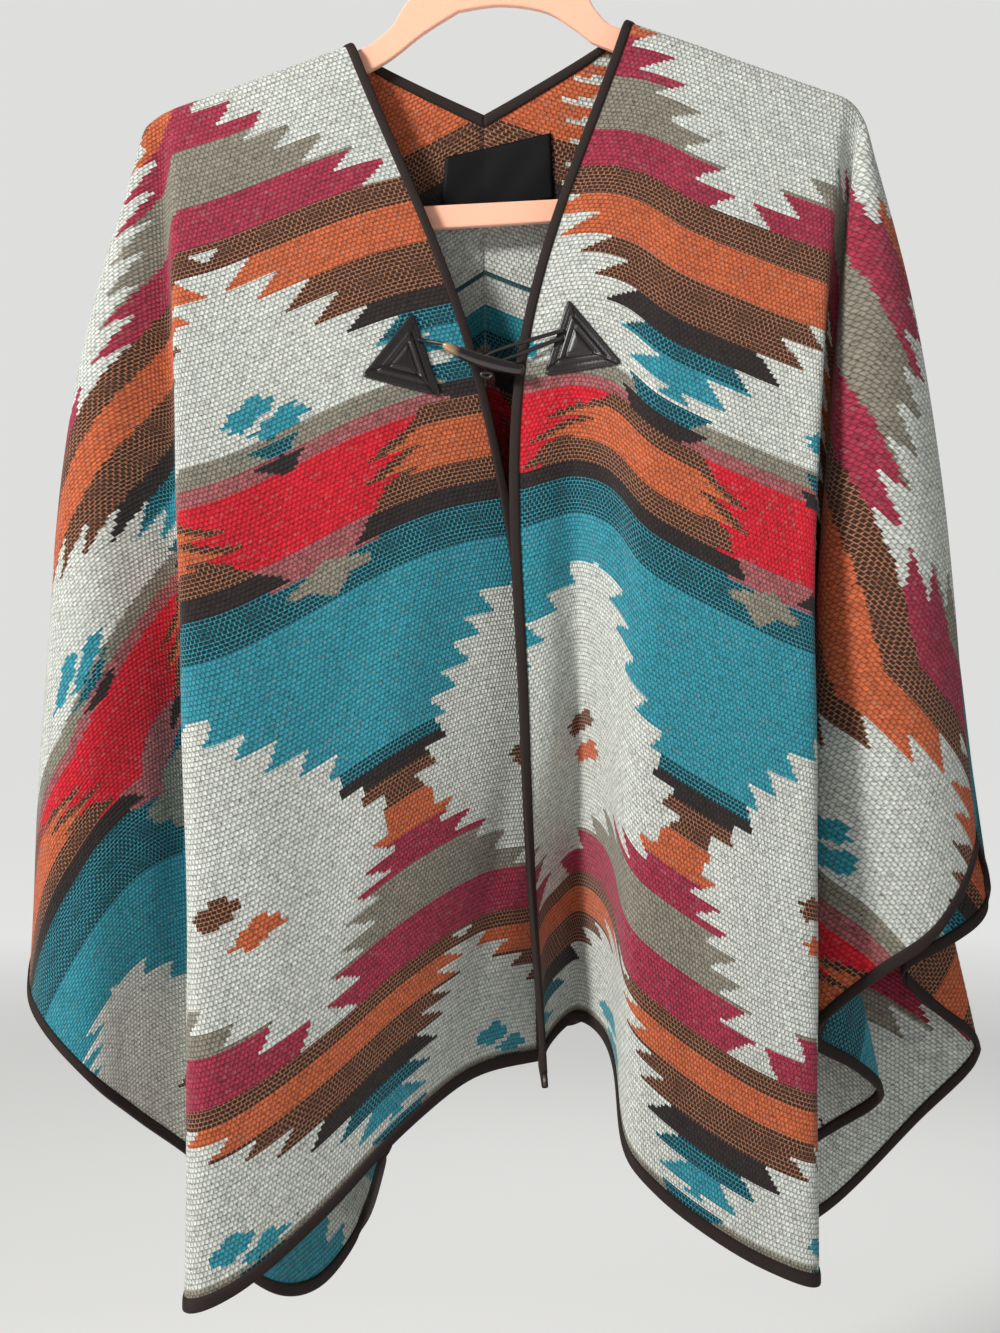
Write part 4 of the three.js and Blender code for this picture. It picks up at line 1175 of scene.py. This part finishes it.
def patch_piece(name, sheet, corners):
    outline = triangle_outline(corners)
    middle = np.mean(np.array(corners), axis=0)
    size = len(outline)
    points = []
    base = {}

    def surface(x, z):
        key = (round(x, 2), round(z, 2))
        if key not in base:
            base[key] = face_y(sheet, x, z) - WALL / 2 - PATCH_ROOM
        return base[key]

    for reach, height in PATCH_RINGS:
        for p in outline:
            x, z = middle + (p - middle) * reach
            points.append((x, surface(x, z) - height, z))
    points.append((middle[0], surface(*middle) - PATCH_TOP, middle[1]))
    points.append((middle[0], surface(*middle), middle[1]))
    faces = ring_faces(len(PATCH_RINGS), size)
    last = (len(PATCH_RINGS) - 1) * size
    for i in range(size):
        n = (i + 1) % size
        faces.append([last + i, last + n, len(points) - 2])
        faces.append([n, i, len(points) - 1])
    stitches = []
    for reach, height, count in STITCH_ROWS:
        for i in range(3):
            a = middle + (np.array(corners[i]) - middle) * reach
            b = middle + (np.array(corners[(i + 1) % 3]) - middle) * reach
            run = (b - a) / np.linalg.norm(b - a)
            for k in range(count):
                spot = a + (b - a) * (0.05 + 0.9 * (k + 0.5) / count)
                stitches.append((spot, run, surface(*spot) - height))
    return make_mesh(name, points, faces), stitches


def stitch_piece(name, stitches):
    points, faces = [], []
    for spot, run, y in stitches:
        faces += closed_faces(len(STITCH_SIZES), STITCH_SIDES, len(points))
        for along, size in STITCH_SIZES:
            centre = spot + run * along * STITCH_LENGTH / 2
            for i in range(STITCH_SIDES):
                angle = i / STITCH_SIDES * 2 * math.pi
                up = STITCH_RADIUS * size * math.cos(angle)
                lift = STITCH_RADIUS * size * math.sin(angle)
                points.append((centre[0] - run[1] * up, y - lift, centre[1] + run[0] * up))
    return make_mesh(name, points, faces)


for side_name, corners in PATCHES.items():
    piece, stitches = patch_piece("leather_patch_" + side_name, sheets["front_" + side_name], corners)
    finish_piece(piece, leather, "leather", "patch_" + side_name)
    finish_piece(stitch_piece("patch_stitches_" + side_name, stitches), thread, "leather")


def spline_through(points, steps=8):
    points = np.array(points, dtype=float)
    place = np.linspace(0, len(points) - 1, (len(points) - 1) * steps + 1)
    padded = np.concatenate([points[:1], points, points[-1:]])
    i = np.clip(np.floor(place).astype(int), 0, len(points) - 2)
    f = (place - i)[:, None]
    return catmull(padded[i], padded[i + 1], padded[i + 2], padded[i + 3], f)


def tube_piece(name, route, radius, sides):
    """A closed round tube along a route."""
    route = np.array(route, dtype=float)
    radius = np.broadcast_to(np.array(radius, dtype=float), (len(route),))
    tangent = np.gradient(route, axis=0)
    tangent /= np.linalg.norm(tangent, axis=1, keepdims=True)
    points = []
    for p, t, r in zip(route, tangent, radius):
        ahead = np.array([0.0, 1.0, 0.0])
        ahead -= t * ahead.dot(t)
        ahead /= np.linalg.norm(ahead)
        beside = np.cross(t, ahead)
        for i in range(sides):
            angle = i / sides * 2 * math.pi
            points.append(p + r * (math.cos(angle) * ahead + math.sin(angle) * beside))
    return make_mesh(name, points, closed_faces(len(route), sides))


# Toggle, cord, loop and knot
TOGGLE_Y = -38
TOGGLE = np.array([
    (-37.9, -331.4, 0.25),
    (-37.4, -331.7, 1.2),
    (-36, -332.6, 2.2),
    (-30, -335.8, 3.4),
    (-20, -340, 4.3),
    (-8, -344, 4.7),
    (4, -347, 4.4),
    (13, -348.6, 3.9),
    (15.2, -349, 2.9),
    (15.9, -349.1, 1.2),
])
dense = spline_through(TOGGLE, 6)
route = np.stack([dense[:, 0], np.full(len(dense), TOGGLE_Y), dense[:, 1]], axis=1)
finish_piece(tube_piece("horn_toggle", route, dense[:, 2], 28), horn, "horn", "toggle")

CORD_RADIUS = 1.4
CORD_ROOM = 0.4
KNOT_RADIUS = 1.25
KNOT_STEPS = 60
TOGGLE_RADIUS = 4.6
PATCH_UNDER_CORD = 1.9
TOGGLE_BACK = TOGGLE_Y + TOGGLE_RADIUS + CORD_ROOM + CORD_RADIUS


def on_patch(side_name, x, z):
    y = face_y(sheets["front_" + side_name], x, z)
    return (x, y - WALL / 2 - PATCH_ROOM - PATCH_UNDER_CORD - CORD_ROOM - CORD_RADIUS, z)


cord_route = [
    on_patch("left", -55, -327),
    on_patch("left", -49, -328),
    (-36, -31, -331),
    (-24, -31.6, -335),
    (-17.5, TOGGLE_BACK, -340),
]
loop_route = [
    on_patch("right", 42, -321.5),
    on_patch("right", 37, -323),
    (22, -32.4, -327.5),
    (4, -32, -333),
    (-8, TOGGLE_BACK, -338),
    (-10.5, TOGGLE_BACK, -341.5),
    (-7, TOGGLE_BACK, -344),
    (4, -32, -341),
    (22, -32.4, -334),
    on_patch("right", 36.5, -328.5),
    on_patch("right", 41, -327),
]
knot_route = []
for k in range(KNOT_STEPS + 1):
    angle = k / KNOT_STEPS * 4 * math.pi
    knot_route.append((
        -8.5 + 3.2 * math.cos(angle) * (1 - 0.2 * math.sin(angle / 2)),
        -37 + 1.0 * math.sin(angle / 2 + 0.6),
        -352 + 1.6 * math.sin(angle) + 0.3 * math.cos(angle / 2),
    ))
for name, route, radius, sides, node_name in (
    ("leather_cord", spline_through(cord_route), CORD_RADIUS, 12, "cord_left"),
    ("leather_loop", spline_through(loop_route), CORD_RADIUS, 12, "loop_right"),
    ("cord_knot", knot_route, KNOT_RADIUS, 10, "knot"),
):
    finish_piece(tube_piece(name, route, radius, sides), leather, "leather", node_name)

# Hanger: a flat flocked plate with rounded edges
HANGER_THICKNESS = 7
HANGER_ROUND = 1.5
HANGER_ROOM = 2.7
HANGER_NECK_ROOM = 4.6
ARM_DEPTH = 22


def arm_point(half, top, below):
    x = half.neck[0] + half.direction[0] * top + half.side * half.direction[1] * below
    z = half.neck[1] + half.direction[1] * top - half.side * half.direction[0] * below
    return (x, z)


def carry_on(outline, *through):
    """Carries an outline on by a smooth curve from its last point."""
    outline += [tuple(p) for p in spline_through([outline[-1], *through])[1:]]


def hanger_outline():
    points = [(6, -70), (-6, -70)]
    carry_on(points, (-34, -74), (-61, -92), (-74, -111), (-88, -123))
    for top, below in ((0, HANGER_NECK_ROOM), (12, HANGER_NECK_ROOM), (17, HANGER_ROOM), (119, HANGER_ROOM)):
        points.append(arm_point(left, top, below))
    carry_on(points, arm_point(left, 123, 8), (-221, -196), (-214, -226), (-200, -247), (-178, -254))
    points += [(-53, -249), (39.4, -243.4), (186, -235)]
    carry_on(points, (208, -228), (221, -210), (227, -186), arm_point(right, 146, 8))
    for top, below in ((141, HANGER_ROOM), (17, HANGER_ROOM), (12, HANGER_NECK_ROOM), (0, HANGER_NECK_ROOM)):
        points.append(arm_point(right, top, below))
    carry_on(points, (74, -109), (65, -99.5), (56, -87), (32, -74), points[0])
    return points[:-1]


def hanger_hole():
    points = [(-27.9, -100.6)]
    carry_on(points, (0.7, -96.6), (29.9, -100.6), (48.3, -110.8), (62.6, -121.7))
    points += [arm_point(right, 14, ARM_DEPTH), arm_point(right, 118, ARM_DEPTH)]
    carry_on(points, (204, -192), (200, -210), (182, -219))
    points += [(43.5, -227.8), (-59.2, -233.2), (-176, -238)]
    carry_on(points, (-195, -228), (-200, -210), arm_point(left, 98, ARM_DEPTH))
    points.append(arm_point(left, 14, ARM_DEPTH))
    carry_on(points, (-77.5, -135.3), (-51.7, -115.6), points[0])
    return points[:-1]


def hanger_piece():
    curve = bpy.data.curves.new("hanger_curve", "CURVE")
    curve.dimensions = "2D"
    curve.fill_mode = "BOTH"
    curve.extrude = (HANGER_THICKNESS / 2 - HANGER_ROUND) * MM
    curve.bevel_depth = HANGER_ROUND * MM
    curve.bevel_resolution = 3
    curve.offset = -HANGER_ROUND * MM
    for outline in (hanger_outline(), hanger_hole()):
        spline = curve.splines.new("POLY")
        spline.points.add(len(outline) - 1)
        for point, (x, z) in zip(spline.points, outline):
            point.co = (x * MM, z * MM, 0, 1)
        spline.use_cyclic_u = True
    holder = new_object("hanger_curve", curve)
    mesh = bpy.data.meshes.new_from_object(holder)
    bpy.data.objects.remove(holder)
    mesh.name = "flocked_hanger"
    places = np.zeros(len(mesh.vertices) * 3)
    mesh.vertices.foreach_get("co", places)
    places = places.reshape(-1, 3)
    mesh.vertices.foreach_set("co", np.stack([places[:, 0], -places[:, 2], places[:, 1]], axis=1).ravel())
    mesh.update()
    return new_object("flocked_hanger", mesh)


finish_piece(hanger_piece(), flock, "hanger", "hanger")

WIRE = 1.6
HOOK_RADIUS = 21.6
hook_points = [(0, 0, -69.7), (0, 0, -60), (0, 0, -51)]
for degrees in range(-48, 217, 22):
    angle = math.radians(degrees)
    hook_points.append((HOOK_RADIUS * math.cos(angle), 0, WIRE - HOOK_RADIUS + HOOK_RADIUS * math.sin(angle)))
finish_piece(tube_piece("hanger_hook", spline_through(hook_points), WIRE, 16), steel, "steel", "hook")

# Floor and light. The floor glows a little far away, so that it meets the backdrop without a line
FLOOR_Z = -1.3
FLOOR_HALF = 30
GLOW_START = 1.8
GLOW_FULL = 5.0
GLOW = 0.5
BACKDROP_LIGHT = 0.28
BACKDROP_SEEN = 0.84
floor_mesh = bpy.data.meshes.new("floor")
floor_corners = [(x * FLOOR_HALF, y * FLOOR_HALF, FLOOR_Z) for x, y in ((-1, -1), (1, -1), (1, 1), (-1, 1))]
floor_mesh.from_pydata(floor_corners, [], [(0, 1, 2, 3)])
floor = new_object("floor", floor_mesh)
floor_look = new_look("floor")
far = floor_look.add("VectorMath", floor_look.add("TexCoord")["Object"], operation="LENGTH")["Value"]
floor_mesh.materials.append(floor_look.shade(
    Base_Color=(0.93, 0.93, 0.92, 1),
    Roughness=0.9,
    Emission_Color=(1, 1, 0.985, 1),
    Emission_Strength=floor_look.ranged(far, GLOW_START, GLOW_FULL, 0.0, GLOW),
))


def area_light(name, place, size, energy, colour):
    data = bpy.data.lights.new(name, "AREA")
    data.shape = "DISK"
    data.size = size
    data.energy = energy
    data.color = colour
    lamp = new_object(name, data)
    lamp.location = place
    lamp.rotation_euler = (Vector(LIT_PLACE) - Vector(place)).to_track_quat("-Z", "Y").to_euler()


LIT_PLACE = (0, 0, -0.5)
area_light("key", (-1.9, -1.8, 0.8), 0.6, 104, (1.0, 0.985, 0.96))
area_light("fill", (1.9, -1.5, -0.1), 1.4, 5, (0.92, 0.96, 1.0))
area_light("back", (0.4, 2.0, 0.6), 1.6, 16, (1, 1, 1))
studio = Look(bpy.data.worlds.new("studio"))
backdrop = studio.tree.nodes["Background"].inputs
studio.put(backdrop[0], (0.87, 0.875, 0.86, 1))
# The backdrop is seen pale, and lights the cloth less, so that its folds keep their shade
seen = studio.add("LightPath")["Is Camera Ray"]
studio.put(backdrop[1], studio.ranged(seen, 0.0, 1.0, BACKDROP_LIGHT, BACKDROP_SEEN))
bpy.context.scene.world = studio.owner
bpy.context.scene.view_settings.view_transform = "Standard"
